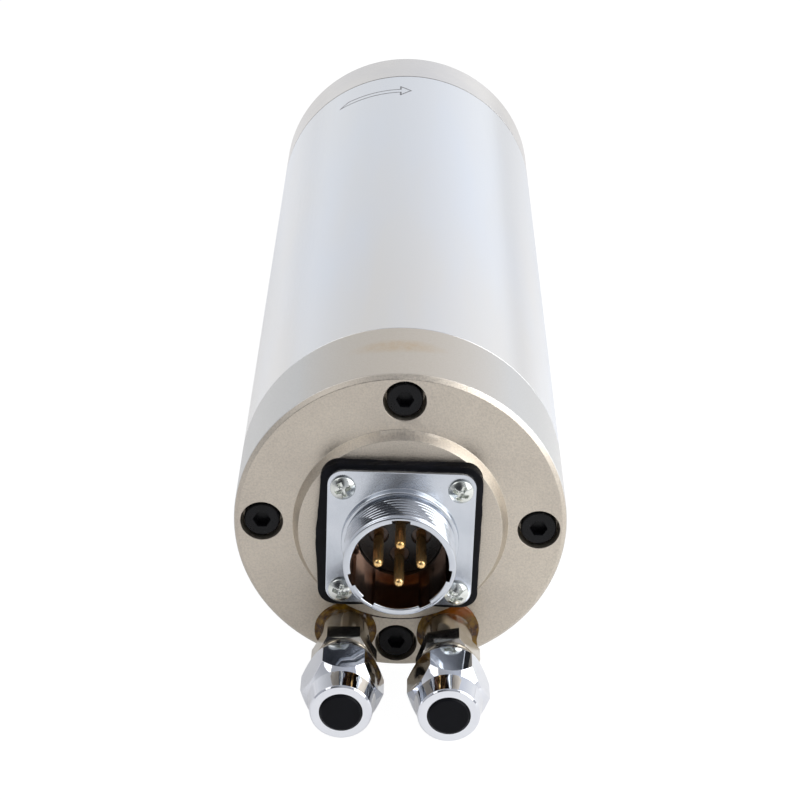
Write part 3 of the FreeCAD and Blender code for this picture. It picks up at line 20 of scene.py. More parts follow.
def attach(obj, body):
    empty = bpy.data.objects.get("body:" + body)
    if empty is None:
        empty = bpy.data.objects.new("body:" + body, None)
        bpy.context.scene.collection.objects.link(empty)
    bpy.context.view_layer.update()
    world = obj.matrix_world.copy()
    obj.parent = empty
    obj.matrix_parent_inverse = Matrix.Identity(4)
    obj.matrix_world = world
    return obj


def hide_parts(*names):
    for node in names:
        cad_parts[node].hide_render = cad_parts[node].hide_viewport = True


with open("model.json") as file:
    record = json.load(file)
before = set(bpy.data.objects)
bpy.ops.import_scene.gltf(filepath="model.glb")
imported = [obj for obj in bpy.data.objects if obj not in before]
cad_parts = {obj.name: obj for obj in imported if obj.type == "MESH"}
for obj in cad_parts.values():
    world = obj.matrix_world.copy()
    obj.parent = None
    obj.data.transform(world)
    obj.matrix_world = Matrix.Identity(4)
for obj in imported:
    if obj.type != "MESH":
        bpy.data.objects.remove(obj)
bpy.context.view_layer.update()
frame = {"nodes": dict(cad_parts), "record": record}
MM = 0.001
TURN = 2 * math.pi
HOUSING = "housing"
LOG = logging.getLogger("motor_spindle")
# Levels of a noise, which runs from 0 to 1, between which a cloud or a grain comes in.
CLOUD_LEVELS = (0.35, 0.65)
GRAIN_LEVELS = (0.3, 0.7)
# How many times longer than wide a line of a drawn lay is.
LINE_LENGTH = 50
# Largest share of a side that a rounded corner takes, and where the point past it lies.
CORNER_SHARE = 0.38
HOLD_SHARE = 0.25
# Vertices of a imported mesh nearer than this, in metres, are one; faces within the angle too.
MERGE_WITHIN = 1e-6
FLAT_WITHIN_DEG = 0.5
# Steps across a broken edge.
EDGE_STEPS = 2


def linear(hex_colour: str) -> tuple[float, float, float, float]:
    """Turns an sRGB hex colour into linear light.

    Args:
        hex_colour: Six hex digits after a hash mark.

    Returns:
        Red, green, blue and an alpha of 1.
    """
    levels = np.array([int(hex_colour[i:i + 2], 16) / 255 for i in (1, 3, 5)])
    light = np.where(levels <= 0.04045, levels / 12.92, ((levels + 0.055) / 1.055) ** 2.4)
    return (*(float(value) for value in light), 1.0)


def add_node(tree: bpy.types.NodeTree, kind: str, inputs: dict | None = None,
             **settings: object) -> bpy.types.Node:
    """Adds a node with its settings and links.

    Args:
        tree: The node tree that gets the node.
        kind: The node's type name.
        inputs: A value or an output socket for each input, by name or number.
        **settings: The node's own properties.

    Returns:
        The new node.
    """
    node = tree.nodes.new(kind)
    for key, value in settings.items():
        setattr(node, key, value)
    for key, value in (inputs or {}).items():
        if isinstance(value, bpy.types.NodeSocket):
            tree.links.new(value, node.inputs[key])
        else:
            node.inputs[key].default_value = value
    return node


class Lay(Enum):
    """How the fine pattern of a surface lies."""

    GRAINY = "the same in every direction"
    TURNED = "in rings round the piece's own axis"
    DRAWN = "in lines along the spindle axis"


@dataclass(frozen=True)
class Finish:
    """A real finish: two colours in soft clouds, and a fine grain that scatters the shine.

    Attributes:
        name: The common name of the material and how it was made.
        colour: Main colour.
        cloud_colour: Colour of the clouds.
        metallic: 1 for bare or plated metal, 0 for anything else.
        rough: Lowest and highest roughness over the grain.
        cloud_mm: Size of one cloud.
        grain_mm: Size of one grain, or the spacing of its lines.
        relief_mm: Depth of the grain.
        lay: How the grain lies.
        coat: Strength of a clear coat.
        speckle: How far the grain darkens the colour, from 0 to 1.
        cloud_length: How many times longer than wide a cloud is, along the spindle axis.
        shine: Specular level of a finish that isn't metal.
    """

    name: str
    colour: str
    cloud_colour: str
    metallic: float = 1.0
    rough: tuple[float, float] = (0.3, 0.4)
    cloud_mm: float = 20.0
    grain_mm: float = 0.3
    relief_mm: float = 0.01
    lay: Lay = Lay.GRAINY
    coat: float = 0.0
    speckle: float = 0.0
    cloud_length: float = 1.0
    shine: float = 0.5

    def place(self, tree: bpy.types.NodeTree, centre: tuple[float, float]) -> bpy.types.NodeSocket:
        """Gives the place on the piece in millimetres, from its own axis.

        Args:
            tree: The material's node tree.
            centre: X and Z of the piece's axis.

        Returns:
            The output socket of the place.
        """
        where = add_node(tree, "ShaderNodeTexCoord")
        return add_node(tree, "ShaderNodeMapping", {
            "Vector": where.outputs["Object"], "Scale": (1 / MM,) * 3,
            "Location": (-centre[0], 0.0, -centre[1])}).outputs[0]

    def radius(self, tree: bpy.types.NodeTree,
               place: bpy.types.NodeSocket) -> tuple[bpy.types.NodeSocket, bpy.types.NodeSocket]:
        """Works out sqrt(x² + z²), the distance from the piece's axis.

        Args:
            tree: The material's node tree.
            place: The place in millimetres.

        Returns:
            The sockets of the distance and of the place along the axis.
        """
        x, y, z = add_node(tree, "ShaderNodeSeparateXYZ", {0: place}).outputs
        square = add_node(tree, "ShaderNodeMath", {0: z, 1: z}, operation="MULTIPLY")
        total = add_node(tree, "ShaderNodeMath", {0: x, 1: x, 2: square.outputs[0]},
                         operation="MULTIPLY_ADD")
        root = add_node(tree, "ShaderNodeMath", {0: total.outputs[0]}, operation="SQRT")
        return root.outputs[0], y

    def grain_place(self, tree: bpy.types.NodeTree,
                    place: bpy.types.NodeSocket) -> bpy.types.NodeSocket:
        """Turns the place into the coordinates that the grain is read at.

        A turned lay reads the distance from the axis and the length along it, so that the
        pattern makes rings. A drawn lay is shrunk along the axis, so that it makes lines.

        Args:
            tree: The material's node tree.
            place: The place in millimetres.

        Returns:
            The output socket of the pattern's coordinates.
        """
        if self.lay is Lay.GRAINY:
            return place
        if self.lay is Lay.DRAWN:
            return add_node(tree, "ShaderNodeMapping", {
                "Vector": place, "Scale": (1.0, 1 / LINE_LENGTH, 1.0)}).outputs[0]
        radius, along = self.radius(tree, place)
        return add_node(tree, "ShaderNodeCombineXYZ", {0: radius, 1: along}).outputs[0]

    def tint(self, tree: bpy.types.NodeTree, place: bpy.types.NodeSocket,
             colour: bpy.types.NodeSocket) -> bpy.types.NodeSocket:
        """Changes the colour where a special finish does. The plain one stays."""
        return colour

    def shade(self, shader: bpy.types.Node) -> None:
        """Sets what a special finish has on the shader. The plain one has nothing."""

    def material(self, centre: tuple[float, float] = (0.0, 0.0)) -> bpy.types.Material:
        """Makes the material, or finds it if it is made already.

        Args:
            centre: X and Z of the axis that the pattern goes round, in millimetres.

        Returns:
            The material.
        """
        label = self.name if centre == (0.0, 0.0) else f"{self.name} at {centre[0]:g}"
        if label in bpy.data.materials:
            return bpy.data.materials[label]
        material = bpy.data.materials.new(label)
        material.use_nodes = True
        tree = material.node_tree
        tree.nodes.clear()
        place = self.place(tree, centre)
        stretched = add_node(tree, "ShaderNodeMapping", {
            "Vector": place, "Scale": (1.0, 1 / self.cloud_length, 1.0)})
        clouds = add_node(tree, "ShaderNodeTexNoise", {
            "Vector": stretched.outputs[0], "Scale": 1 / self.cloud_mm, "Detail": 3.0})
        grain = add_node(tree, "ShaderNodeTexNoise", {
            "Vector": self.grain_place(tree, place), "Scale": 1 / self.grain_mm, "Detail": 2.0})
        soft = add_node(tree, "ShaderNodeMapRange", {
            "Value": clouds.outputs[0], "From Min": CLOUD_LEVELS[0], "From Max": CLOUD_LEVELS[1]})
        mixed = add_node(tree, "ShaderNodeMix", {
            0: soft.outputs[0], 6: linear(self.colour), 7: linear(self.cloud_colour)},
            data_type="RGBA").outputs[2]
        if self.speckle:
            spots = add_node(tree, "ShaderNodeMapRange", {
                "Value": grain.outputs[0], "From Min": GRAIN_LEVELS[0],
                "From Max": GRAIN_LEVELS[1], "To Min": 1 - self.speckle, "To Max": 1.0})
            mixed = add_node(tree, "ShaderNodeMix", {
                0: 1.0, 6: mixed, 7: spots.outputs[0]},
                data_type="RGBA", blend_type="MULTIPLY").outputs[2]
        rough = add_node(tree, "ShaderNodeMapRange", {
            "Value": grain.outputs[0], "From Min": GRAIN_LEVELS[0], "From Max": GRAIN_LEVELS[1],
            "To Min": self.rough[0], "To Max": self.rough[1]})
        bump = add_node(tree, "ShaderNodeBump", {
            "Height": grain.outputs[0], "Distance": self.relief_mm * MM, "Strength": 1.0})
        shader = add_node(tree, "ShaderNodeBsdfPrincipled", {
            "Base Color": self.tint(tree, place, mixed), "Metallic": self.metallic,
            "Roughness": rough.outputs[0], "Specular IOR Level": self.shine,
            "Coat Weight": self.coat, "Normal": bump.outputs[0]})
        self.shade(shader)
        add_node(tree, "ShaderNodeOutputMaterial", {"Surface": shader.outputs[0]})
        return material


@dataclass(frozen=True)
class CoverPlating(Finish):
    """Nickel plating, blasted on the face and smoother on the rim, with a faint yellow stain and a
    painted warm reflection on the rim's top.

    Attributes:
        rim_colour: Colour of the cover's turned rim.
        top_reflection_colour: Its colour at the top, a little yellower: a painted warm reflection.
        top_reflection_mm: Heights between which that painted reflection comes in.
        rim_mm: Radius over which the rim lies.
        rim_blend: Width over which the two platings meet.
        stain_colour: Colour of the stain.
        stain_place: Middle of the stain across and along the axis.
        stain_size: Half its size across and along the axis.
        stain_edge: Distances from its middle, in half sizes, where it starts and is full.
        stain_share: Its strength where it is full.
        stain_patches: How many patches in a millimetre break it up.
    """

    rim_colour: str = "#dbdbd9"
    top_reflection_colour: str = "#ddd4c6"
    top_reflection_mm: tuple[float, float] = (25.0, 32.4)
    rim_mm: float = 32.4
    rim_blend: float = 0.06
    stain_colour: str = "#d3b27e"
    stain_place: tuple[float, float] = (-1.5, -87.4)
    stain_size: tuple[float, float] = (10.0, 3.2)
    stain_edge: tuple[float, float] = (1.0, 0.4)
    stain_share: float = 0.6
    stain_patches: float = 0.6

    def tint(self, tree: bpy.types.NodeTree, place: bpy.types.NodeSocket,
             colour: bpy.types.NodeSocket) -> bpy.types.NodeSocket:
        """Mixes in the rim's colour over its radius, with a painted warm reflection at its top, and
        there the stain.

        The stain's strength grows in a straight line over the distance from its middle, with
        its half sizes as the unit. Noise breaks it up, and it lies on the upper side only.

        Args:
            tree: The material's node tree.
            place: The place in millimetres.
            colour: The plain colour.

        Returns:
            The mixed colour's socket.
        """
        radius, _ = self.radius(tree, place)
        outside = add_node(tree, "ShaderNodeMapRange", {
            "Value": radius, "From Min": self.rim_mm - self.rim_blend, "From Max": self.rim_mm})
        unit = add_node(tree, "ShaderNodeMapping", {
            "Vector": place,
            "Location": (-self.stain_place[0] / self.stain_size[0],
                         -self.stain_place[1] / self.stain_size[1], 0.0),
            "Scale": (1 / self.stain_size[0], 1 / self.stain_size[1], 0.0)})
        far = add_node(tree, "ShaderNodeVectorMath", {0: unit.outputs[0]}, operation="LENGTH")
        upper = add_node(tree, "ShaderNodeSeparateXYZ", {0: place}).outputs[2]
        top = add_node(tree, "ShaderNodeMath", {0: upper, 1: 0.0}, operation="GREATER_THAN")
        noise = add_node(tree, "ShaderNodeTexNoise", {
            "Vector": place, "Scale": self.stain_patches, "Detail": 2.0})
        patchy = add_node(tree, "ShaderNodeMath", {
            0: noise.outputs[0], 1: top.outputs[0]}, operation="MULTIPLY")
        fade = add_node(tree, "ShaderNodeMapRange", {
            "Value": far.outputs["Value"], "From Min": self.stain_edge[0],
            "From Max": self.stain_edge[1], "To Max": self.stain_share})
        stain = add_node(tree, "ShaderNodeMath", {
            0: fade.outputs[0], 1: patchy.outputs[0]}, operation="MULTIPLY")
        # Painted reflection: the rim turns yellower towards its top.
        top_reflection = add_node(tree, "ShaderNodeMapRange", {
            "Value": upper, "From Min": self.top_reflection_mm[0], "From Max": self.top_reflection_mm[1]})
        metal = add_node(tree, "ShaderNodeMix", {
            0: top_reflection.outputs[0], 6: linear(self.rim_colour), 7: linear(self.top_reflection_colour)},
            data_type="RGBA")
        rim = add_node(tree, "ShaderNodeMix", {
            0: stain.outputs[0], 6: metal.outputs[2], 7: linear(self.stain_colour)},
            data_type="RGBA")
        return add_node(tree, "ShaderNodeMix", {
            0: outside.outputs[0], 6: colour, 7: rim.outputs[2]}, data_type="RGBA").outputs[2]


@dataclass(frozen=True)
class SocketPlating(Finish):
    """Bright zinc plating, with a painted brown reflection of the gold pins and painted shade
    inside the connector's socket.

    Attributes:
        pin_reflection_colour: Colour of the socket's wall: a painted reflection of the gold pins.
        streak_and_shade_colour: Colour of the dark streaks along the wall, and of the painted shade
            on its right side.
        low_reflection_colour: Colour of its bottom, where the painted reflection is darker.
        streak_mm: Width of a streak.
        streak_length: How many times longer than wide it is.
        streak_levels: Levels of the noise between which a streak comes in.
        shaded_side_mm: Places across between which the painted shade on the right side comes in.
        shaded_side_share: How dark that painted shade gets.
        low_mm: Heights between which the bottom's darker painted reflection comes in.
        edge_mm: Radius under which the wall lies.
        face_mm: Place along the axis behind which the wall lies.
    """

    pin_reflection_colour: str = "#b8a497"
    streak_and_shade_colour: str = "#3f322b"
    low_reflection_colour: str = "#8c6b58"
    streak_mm: float = 1.6
    streak_length: int = 25
    streak_levels: tuple[float, float] = (0.5, 0.62)
    shaded_side_mm: tuple[float, float] = (1.5, 7.0)
    shaded_side_share: float = 0.75
    low_mm: tuple[float, float] = (-7.2, -8.8)
    edge_mm: float = 9.97
    face_mm: float = -116.15

    def tint(self, tree: bpy.types.NodeTree, place: bpy.types.NodeSocket,
             colour: bpy.types.NodeSocket) -> bpy.types.NodeSocket:
        """Mixes the wall's painted colours in below the edge radius and behind the end face: a
        reflection of the gold pins, darker at the bottom, and shade on the right side.

        Args:
            tree: The material's node tree.
            place: The place in millimetres.
            colour: The plain colour.

        Returns:
            The mixed colour's socket.
        """
        radius, along = self.radius(tree, place)
        within = add_node(tree, "ShaderNodeMath", {
            0: radius, 1: self.edge_mm}, operation="LESS_THAN")
        behind = add_node(tree, "ShaderNodeMath", {
            0: along, 1: self.face_mm}, operation="GREATER_THAN")
        inside = add_node(tree, "ShaderNodeMath", {
            0: within.outputs[0], 1: behind.outputs[0]}, operation="MULTIPLY")
        lines = add_node(tree, "ShaderNodeMapping", {
            "Vector": place, "Scale": (1.0, 1 / self.streak_length, 1.0)})
        noise = add_node(tree, "ShaderNodeTexNoise", {
            "Vector": lines.outputs[0], "Scale": 1 / self.streak_mm, "Detail": 2.0})
        streaks = add_node(tree, "ShaderNodeMapRange", {
            "Value": noise.outputs[0], "From Min": self.streak_levels[0],
            "From Max": self.streak_levels[1]})
        x, _, z = add_node(tree, "ShaderNodeSeparateXYZ", {0: place}).outputs
        # Painted shade: the wall darkens towards its right side.
        right = add_node(tree, "ShaderNodeMapRange", {
            "Value": x, "From Min": self.shaded_side_mm[0], "From Max": self.shaded_side_mm[1],
            "To Max": self.shaded_side_share})
        dark = add_node(tree, "ShaderNodeMath", {
            0: streaks.outputs[0], 1: right.outputs[0]}, operation="MAXIMUM")
        # Painted reflection of the gold pins on the wall, with the streaks and the painted shade.
        upper = add_node(tree, "ShaderNodeMix", {
            0: dark.outputs[0], 6: linear(self.pin_reflection_colour), 7: linear(self.streak_and_shade_colour)},
            data_type="RGBA")
        # The painted reflection gets darker towards the bottom.
        low = add_node(tree, "ShaderNodeMapRange", {
            "Value": z, "From Min": self.low_mm[0], "From Max": self.low_mm[1]})
        wall = add_node(tree, "ShaderNodeMix", {
            0: low.outputs[0], 6: upper.outputs[2], 7: linear(self.low_reflection_colour)}, data_type="RGBA")
        return add_node(tree, "ShaderNodeMix", {
            0: inside.outputs[0], 6: colour, 7: wall.outputs[2]}, data_type="RGBA").outputs[2]


@dataclass(frozen=True)
class Resin(Finish):
    """Cured thread sealant: partly clear, so that the plating under it shows in its colour.

    Attributes:
        clear: Share of the light that goes through.
        glow_colour: Colour of the patch that light shines through.
        glow_from: Place across and upwards where that patch starts.
        glow_to: Place where it is full.
    """

    clear: float = 0.2
    glow_colour: str = "#7c430a"
    glow_from: tuple[float, float] = (8.0, -20.4)
    glow_to: tuple[float, float] = (10.5, -19.0)

    def tint(self, tree: bpy.types.NodeTree, place: bpy.types.NodeSocket,
             colour: bpy.types.NodeSocket) -> bpy.types.NodeSocket:
        """Mixes the glowing patch in at the upper right.

        Args:
            tree: The material's node tree.
            place: The place in millimetres.
            colour: The plain colour.

        Returns:
            The mixed colour's socket.
        """
        x, _, z = add_node(tree, "ShaderNodeSeparateXYZ", {0: place}).outputs
        right = add_node(tree, "ShaderNodeMapRange", {
            "Value": x, "From Min": self.glow_from[0], "From Max": self.glow_to[0]})
        upper = add_node(tree, "ShaderNodeMapRange", {
            "Value": z, "From Min": self.glow_from[1], "From Max": self.glow_to[1]})
        patch = add_node(tree, "ShaderNodeMath", {
            0: right.outputs[0], 1: upper.outputs[0]}, operation="MULTIPLY")
        return add_node(tree, "ShaderNodeMix", {
            0: patch.outputs[0], 6: colour, 7: linear(self.glow_colour)},
            data_type="RGBA").outputs[2]

    def shade(self, shader: bpy.types.Node) -> None:
        """Lets part of the light through.

        Args:
            shader: The Principled shader.
        """
        shader.inputs["Transmission Weight"].default_value = self.clear


@dataclass(frozen=True)
class Insert(Finish):
    """Moulded black insert whose sunk rings are coloured paler and browner than its face.

    Attributes:
        sunk_colour: Colour of the sunk rings.
        face_mm: Place of the face along the axis.
        sunk_mm: Depths under it between which that colour comes in.
    """

    sunk_colour: str = "#6e5c52"
    face_mm: float = -104.5
    sunk_mm: tuple[float, float] = (0.1, 0.3)

    def tint(self, tree: bpy.types.NodeTree, place: bpy.types.NodeSocket,
             colour: bpy.types.NodeSocket) -> bpy.types.NodeSocket:
        """Mixes the rings' colour in behind the face.

        Args:
            tree: The material's node tree.
            place: The place in millimetres.
            colour: The plain colour.

        Returns:
            The mixed colour's socket.
        """
        along = add_node(tree, "ShaderNodeSeparateXYZ", {0: place}).outputs[1]
        sunk = add_node(tree, "ShaderNodeMapRange", {
            "Value": along, "From Min": self.face_mm + self.sunk_mm[0],
            "From Max": self.face_mm + self.sunk_mm[1]})
        return add_node(tree, "ShaderNodeMix", {
            0: sunk.outputs[0], 6: colour, 7: linear(self.sunk_colour)},
            data_type="RGBA").outputs[2]


@dataclass(frozen=True)
class SeamedSteel(Finish):
    """Polished tube, with a painted colder reflection towards the nose and a darker chamfer at the
    seam.

    Attributes:
        seam_colour: Colour of the seam.
        seam_mm: Place along the axis where it starts.
        cold_reflection_colour: Colour towards the nose: a painted colder reflection.
        cold_reflection_mm: Places along the axis between which that painted reflection comes in.
        cold_reflection_share: How much of that painted reflection is mixed in.
    """

    seam_colour: str = "#8f8a84"
    seam_mm: float = 78.66
    cold_reflection_colour: str = "#e9f1fb"
    cold_reflection_mm: tuple[float, float] = (-60.0, 30.0)
    cold_reflection_share: float = 0.5

    def tint(self, tree: bpy.types.NodeTree, place: bpy.types.NodeSocket,
             colour: bpy.types.NodeSocket) -> bpy.types.NodeSocket:
        """Mixes the painted colder reflection in along the axis, and the seam's colour in front of
        its edge.

        Args:
            tree: The material's node tree.
            place: The place in millimetres.
            colour: The plain colour.

        Returns:
            The mixed colour's socket.
        """
        along = add_node(tree, "ShaderNodeSeparateXYZ", {0: place}).outputs[1]
        seam = add_node(tree, "ShaderNodeMath", {
            0: along, 1: self.seam_mm}, operation="GREATER_THAN")
        # Painted reflection: the steel turns colder towards the nose.
        share = add_node(tree, "ShaderNodeMapRange", {
            "Value": along, "From Min": self.cold_reflection_mm[0], "From Max": self.cold_reflection_mm[1],
            "To Max": self.cold_reflection_share})
        cold = add_node(tree, "ShaderNodeMix", {
            0: share.outputs[0], 6: colour, 7: linear(self.cold_reflection_colour)}, data_type="RGBA")
        return add_node(tree, "ShaderNodeMix", {
            0: seam.outputs[0], 6: cold.outputs[2], 7: linear(self.seam_colour)},
            data_type="RGBA").outputs[2]


# Most real grains, tool rings and polishing lines are too fine to show in the render, so they
# are drawn as coarse as they need to be.
FINISHES: dict[str, Finish] = {
    # Ground and polished stainless tube: long soft bands, a little warm or cold.
    "polished_steel": SeamedSteel("polished stainless steel", "#f0eeea", "#ebeff5",
                                  rough=(0.2, 0.24), cloud_mm=22, cloud_length=6, grain_mm=0.5,
                                  relief_mm=0.00002, lay=Lay.DRAWN),
    # Nickel plate over a blasted face: warm grey with a fine sparkle of the blast's pits.
    "plated_cover": CoverPlating("blasted nickel plating", "#d8cfc1", "#d0c7ba",
                                 rough=(0.34, 0.54), cloud_mm=16, grain_mm=0.34, relief_mm=0.03,
                                 speckle=0.24),
    # The same plating on a turned face, which is smoother.
    "plated_front": Finish("turned nickel plating", "#ece9e4", "#e4e2e0", rough=(0.22, 0.28),
                           cloud_mm=18, grain_mm=0.3, relief_mm=0.0004, lay=Lay.TURNED),
    # Oiled black oxide on alloy steel screws: nearly black, with a dull sheen.
    "black_screws": Finish("black oxide steel", "#070709", "#0d0d10", metallic=0.0,
                           rough=(0.25, 0.4), cloud_mm=4, grain_mm=0.2, relief_mm=0.003,
                           shine=0.2),
    # Turned aluminium: pale, with tool rings.
    "aluminium": Finish("turned aluminium", "#d3d5d8", "#c6c9cd", rough=(0.28, 0.4),
                        cloud_mm=16, grain_mm=0.3, relief_mm=0.004, lay=Lay.TURNED),
    # Moulded nitrile rubber: nearly black and matt.
    "seal_rubber": Finish("moulded nitrile rubber", "#161617", "#1d1d1f", metallic=0.0,
                          rough=(0.45, 0.6), cloud_mm=6, grain_mm=0.25, relief_mm=0.004,
                          shine=0.3),
    # Rolled spring steel, blued by its heat treatment.
    "spring_steel": Finish("hardened spring steel", "#6f7078", "#5d5f69", rough=(0.25, 0.35),
                           cloud_mm=6, grain_mm=0.2, relief_mm=0.002, lay=Lay.TURNED),
    # Ground and lapped bearing steel, close to a mirror.
    "bearing_steel": Finish("lapped bearing steel", "#d9dadd", "#cfd0d4", rough=(0.1, 0.18),
                            cloud_mm=10, grain_mm=0.2, relief_mm=0.001, lay=Lay.TURNED),
    # Woven cloth in phenolic resin, the brown of precision bearing cages.
    "cage_resin": Finish("fabric-filled phenolic resin", "#7a4a22", "#8d5a2c", metallic=0.0,
                         rough=(0.4, 0.55), cloud_mm=2, grain_mm=0.4, relief_mm=0.008, speckle=0.3),
    # Stacked electrical sheet: its cut edges make fine rings every half millimetre.
    "lamination_steel": Finish("stacked electrical steel", "#8b8d92", "#74767c",
                               rough=(0.35, 0.5), cloud_mm=12, grain_mm=0.5, relief_mm=0.02,
                               lay=Lay.TURNED, speckle=0.25),
    # Enamelled copper wire soaked in varnish: red-brown, glossy, with fine ridges.
    "winding_copper": Finish("varnished enamelled copper", "#a4552a", "#7f3a1a", metallic=0.7,
                             rough=(0.2, 0.4), cloud_mm=5, grain_mm=0.7, relief_mm=0.06,
                             coat=0.6, speckle=0.3),
    # Extruded silicone on the three phase leads: brick red, satin.
    "lead_insulation": Finish("extruded silicone insulation", "#8e2420", "#7b1f1c", metallic=0.0,
                              rough=(0.4, 0.5), cloud_mm=8, grain_mm=0.3, relief_mm=0.003),
    # Extruded silicone on the earth lead: green that goes to yellow in places.
    "earth_insulation": Finish("green silicone insulation", "#4f8a2b", "#7f9b2a", metallic=0.0,
                               rough=(0.4, 0.5), cloud_mm=5, grain_mm=0.3, relief_mm=0.003),
    # Stamped brass with a dull tin plate.
    "tinned_brass": Finish("tinned brass", "#c9c8c2", "#b9b7ad", rough=(0.3, 0.42),
                           cloud_mm=3, grain_mm=0.15, relief_mm=0.003),
    # Cylindrically ground alloy steel: bright, with fine rings.
    "ground_shaft": Finish("ground alloy steel", "#c4c6cb", "#b6b8be", rough=(0.16, 0.26),
                           cloud_mm=12, grain_mm=0.18, relief_mm=0.002, lay=Lay.TURNED),
    # Hardened and ground collet steel, a little darker than the shaft.
    "collet_steel": Finish("hardened collet steel", "#b4b6bb", "#a5a7ad", rough=(0.14, 0.24),
                           cloud_mm=6, grain_mm=0.15, relief_mm=0.002, lay=Lay.TURNED),
    # Turned steel with a thin black oxide: dark grey, with tool rings.
    "nut_steel": Finish("blackened nut steel", "#3c3d41", "#313236", metallic=0.9,
                        rough=(0.25, 0.38), cloud_mm=8, grain_mm=0.2, relief_mm=0.003,
                        lay=Lay.TURNED),
    # Rubber sheet cut by hand: black, with faint bluish clouds that paint its bluish sheen.
    "gasket_rubber": Finish("cut rubber sheet", "#050507", "#0c0d13", metallic=0.0,
                            rough=(0.35, 0.55), cloud_mm=3, grain_mm=0.5, relief_mm=0.02,
                            shine=0.12),
    # Zinc alloy casting with a bright, slightly blue zinc plate; in its socket a painted reflection
    # of the gold pins and painted shade.
    "satin_zinc": SocketPlating("bright zinc plating", "#d0d4da", "#c5cad1", rough=(0.18, 0.26),
                                cloud_mm=7, grain_mm=0.3, relief_mm=0.0015),
    # Glass-filled thermoset insert: black, dull.
    "connector_insert": Insert("moulded black thermoset", "#1a1817", "#221f1d", metallic=0.0,
                               rough=(0.25, 0.35), cloud_mm=3, grain_mm=0.2, relief_mm=0.002),
    # Gold over nickel on turned brass pins: pale yellow, softly bright.
    "gold_pins": Finish("gold plating", "#f6d193", "#ecc07a", metallic=0.85, rough=(0.16, 0.24),
                        cloud_mm=3, grain_mm=0.12, relief_mm=0.0005),
    # Bright zinc on rolled steel screws: pale and clean, with soft highlights.
    "bright_screws": Finish("bright zinc screw plating", "#e6e8e4", "#d9dcd6", rough=(0.18, 0.26),
                            cloud_mm=2, grain_mm=0.15, relief_mm=0.001),
    # Nickel on turned brass: the brass warms it.
    "nickel_fitting": Finish("nickel-plated brass", "#d6d0c6", "#c9c2b4", rough=(0.12, 0.2),
                             cloud_mm=5, grain_mm=0.25, relief_mm=0.0008, lay=Lay.TURNED),
    # Bright chrome: a mirror with hardly any grain.
    "chrome_nut": Finish("bright chrome plating", "#e6e8ec", "#dfe1e7", rough=(0.03, 0.06),
                         cloud_mm=9, grain_mm=0.3, relief_mm=0.0002),
    # Turned brass: yellow, with tool rings.
    "ferrule_brass": Finish("turned brass", "#c8a24a", "#b58f3b", rough=(0.2, 0.3),
                            cloud_mm=3, grain_mm=0.15, relief_mm=0.002, lay=Lay.TURNED),
    # Moulded polyethylene stopper: black, with a soft shine.
    "black_plug": Finish("moulded black polyethylene", "#08090d", "#0b0c11", metallic=0.0,
                         rough=(0.3, 0.42), cloud_mm=4, grain_mm=0.3, relief_mm=0.004,
                         shine=0.1),
    # Anaerobic sealant that oozed out and set: amber where thin, brown where thick.
    "amber_sealant": Resin("cured thread sealant", "#80600e", "#3a1c06", metallic=0.0,
                           rough=(0.08, 0.16), cloud_mm=1.8, grain_mm=0.9, relief_mm=0.08,
                           shine=0.3),
}
# Sealant that crept out in a thin line: dark and glossy.
SEEP = Finish("thin dark sealant", "#3a1a10", "#2a120a", metallic=0.0, rough=(0.15, 0.25),
              cloud_mm=2, grain_mm=0.5, relief_mm=0.01)
# Etched steel: duller and greyer than the polish round it.
ETCH = Finish("etched dark mark", "#8a8a8c", "#a09f9f", rough=(0.4, 0.5), cloud_mm=3,
              grain_mm=0.2, relief_mm=0.002)


def rounded(corners: Sequence[tuple[float, float]], radius: float, closed: bool = False,
            steps: int = 4) -> np.ndarray:
    """Rounds the corners of a section.

    A corner b between the points a and c, each one radius away along its sides, becomes the
    curve (1 - t)² a + 2 t (1 - t) b + t² c. One more point just outside each end of the curve
    keeps the straight stretches straight where the shading is smoothed.

    Args:
        corners: Points of the section, in millimetres.
        radius: How far each curve starts from its corner.
        closed: Whether the last point goes on to the first.
        steps: Pieces of each curve.

    Returns:
        The section's points, in an array of (points, 2).
    """
    points = np.asarray(corners, float)
    before = np.roll(points, 1, axis=0) - points
    after = np.roll(points, -1, axis=0) - points
    reach = np.linalg.norm(before, axis=1), np.linalg.norm(after, axis=1)
    cut = np.minimum(radius, CORNER_SHARE * np.minimum(*reach))[:, None]
    before, after = before / reach[0][:, None], after / reach[1][:, None]
    start, end = points + before * cut, points + after * cut
    t = np.linspace(0, 1, steps + 1)[None, :, None]
    curve = ((1 - t) ** 2 * start[:, None] + 2 * t * (1 - t) * points[:, None]
             + t ** 2 * end[:, None])
    holds = ((start + HOLD_SHARE * before * cut)[:, None],
             (end + HOLD_SHARE * after * cut)[:, None])
    curve = np.concatenate([holds[0], curve, holds[1]], axis=1)
    if closed:
        return curve.reshape(-1, 2)
    return np.concatenate([points[:1], curve[1:-1].reshape(-1, 2), points[-1:]])


def wrapped(radius: np.ndarray, along: np.ndarray, angles: np.ndarray,
            centre: tuple[float, float] = (0.0, 0.0)) -> np.ndarray:
    """Wraps a grid round an axis along Y: x = r cos a, z = r sin a, from the axis.

    Args:
        radius: Distance from the axis, for each row or each point.
        along: Place along Y, for each row or each point.
        angles: Angle of each column, in radians.
        centre: X and Z of the axis.

    Returns:
        The points, in an array of (rows, columns, 3).
    """
    radius, along, angles = np.broadcast_arrays(radius, along, angles)
    return np.stack([centre[0] + radius * np.cos(angles), along,
                     centre[1] + radius * np.sin(angles)], axis=-1)


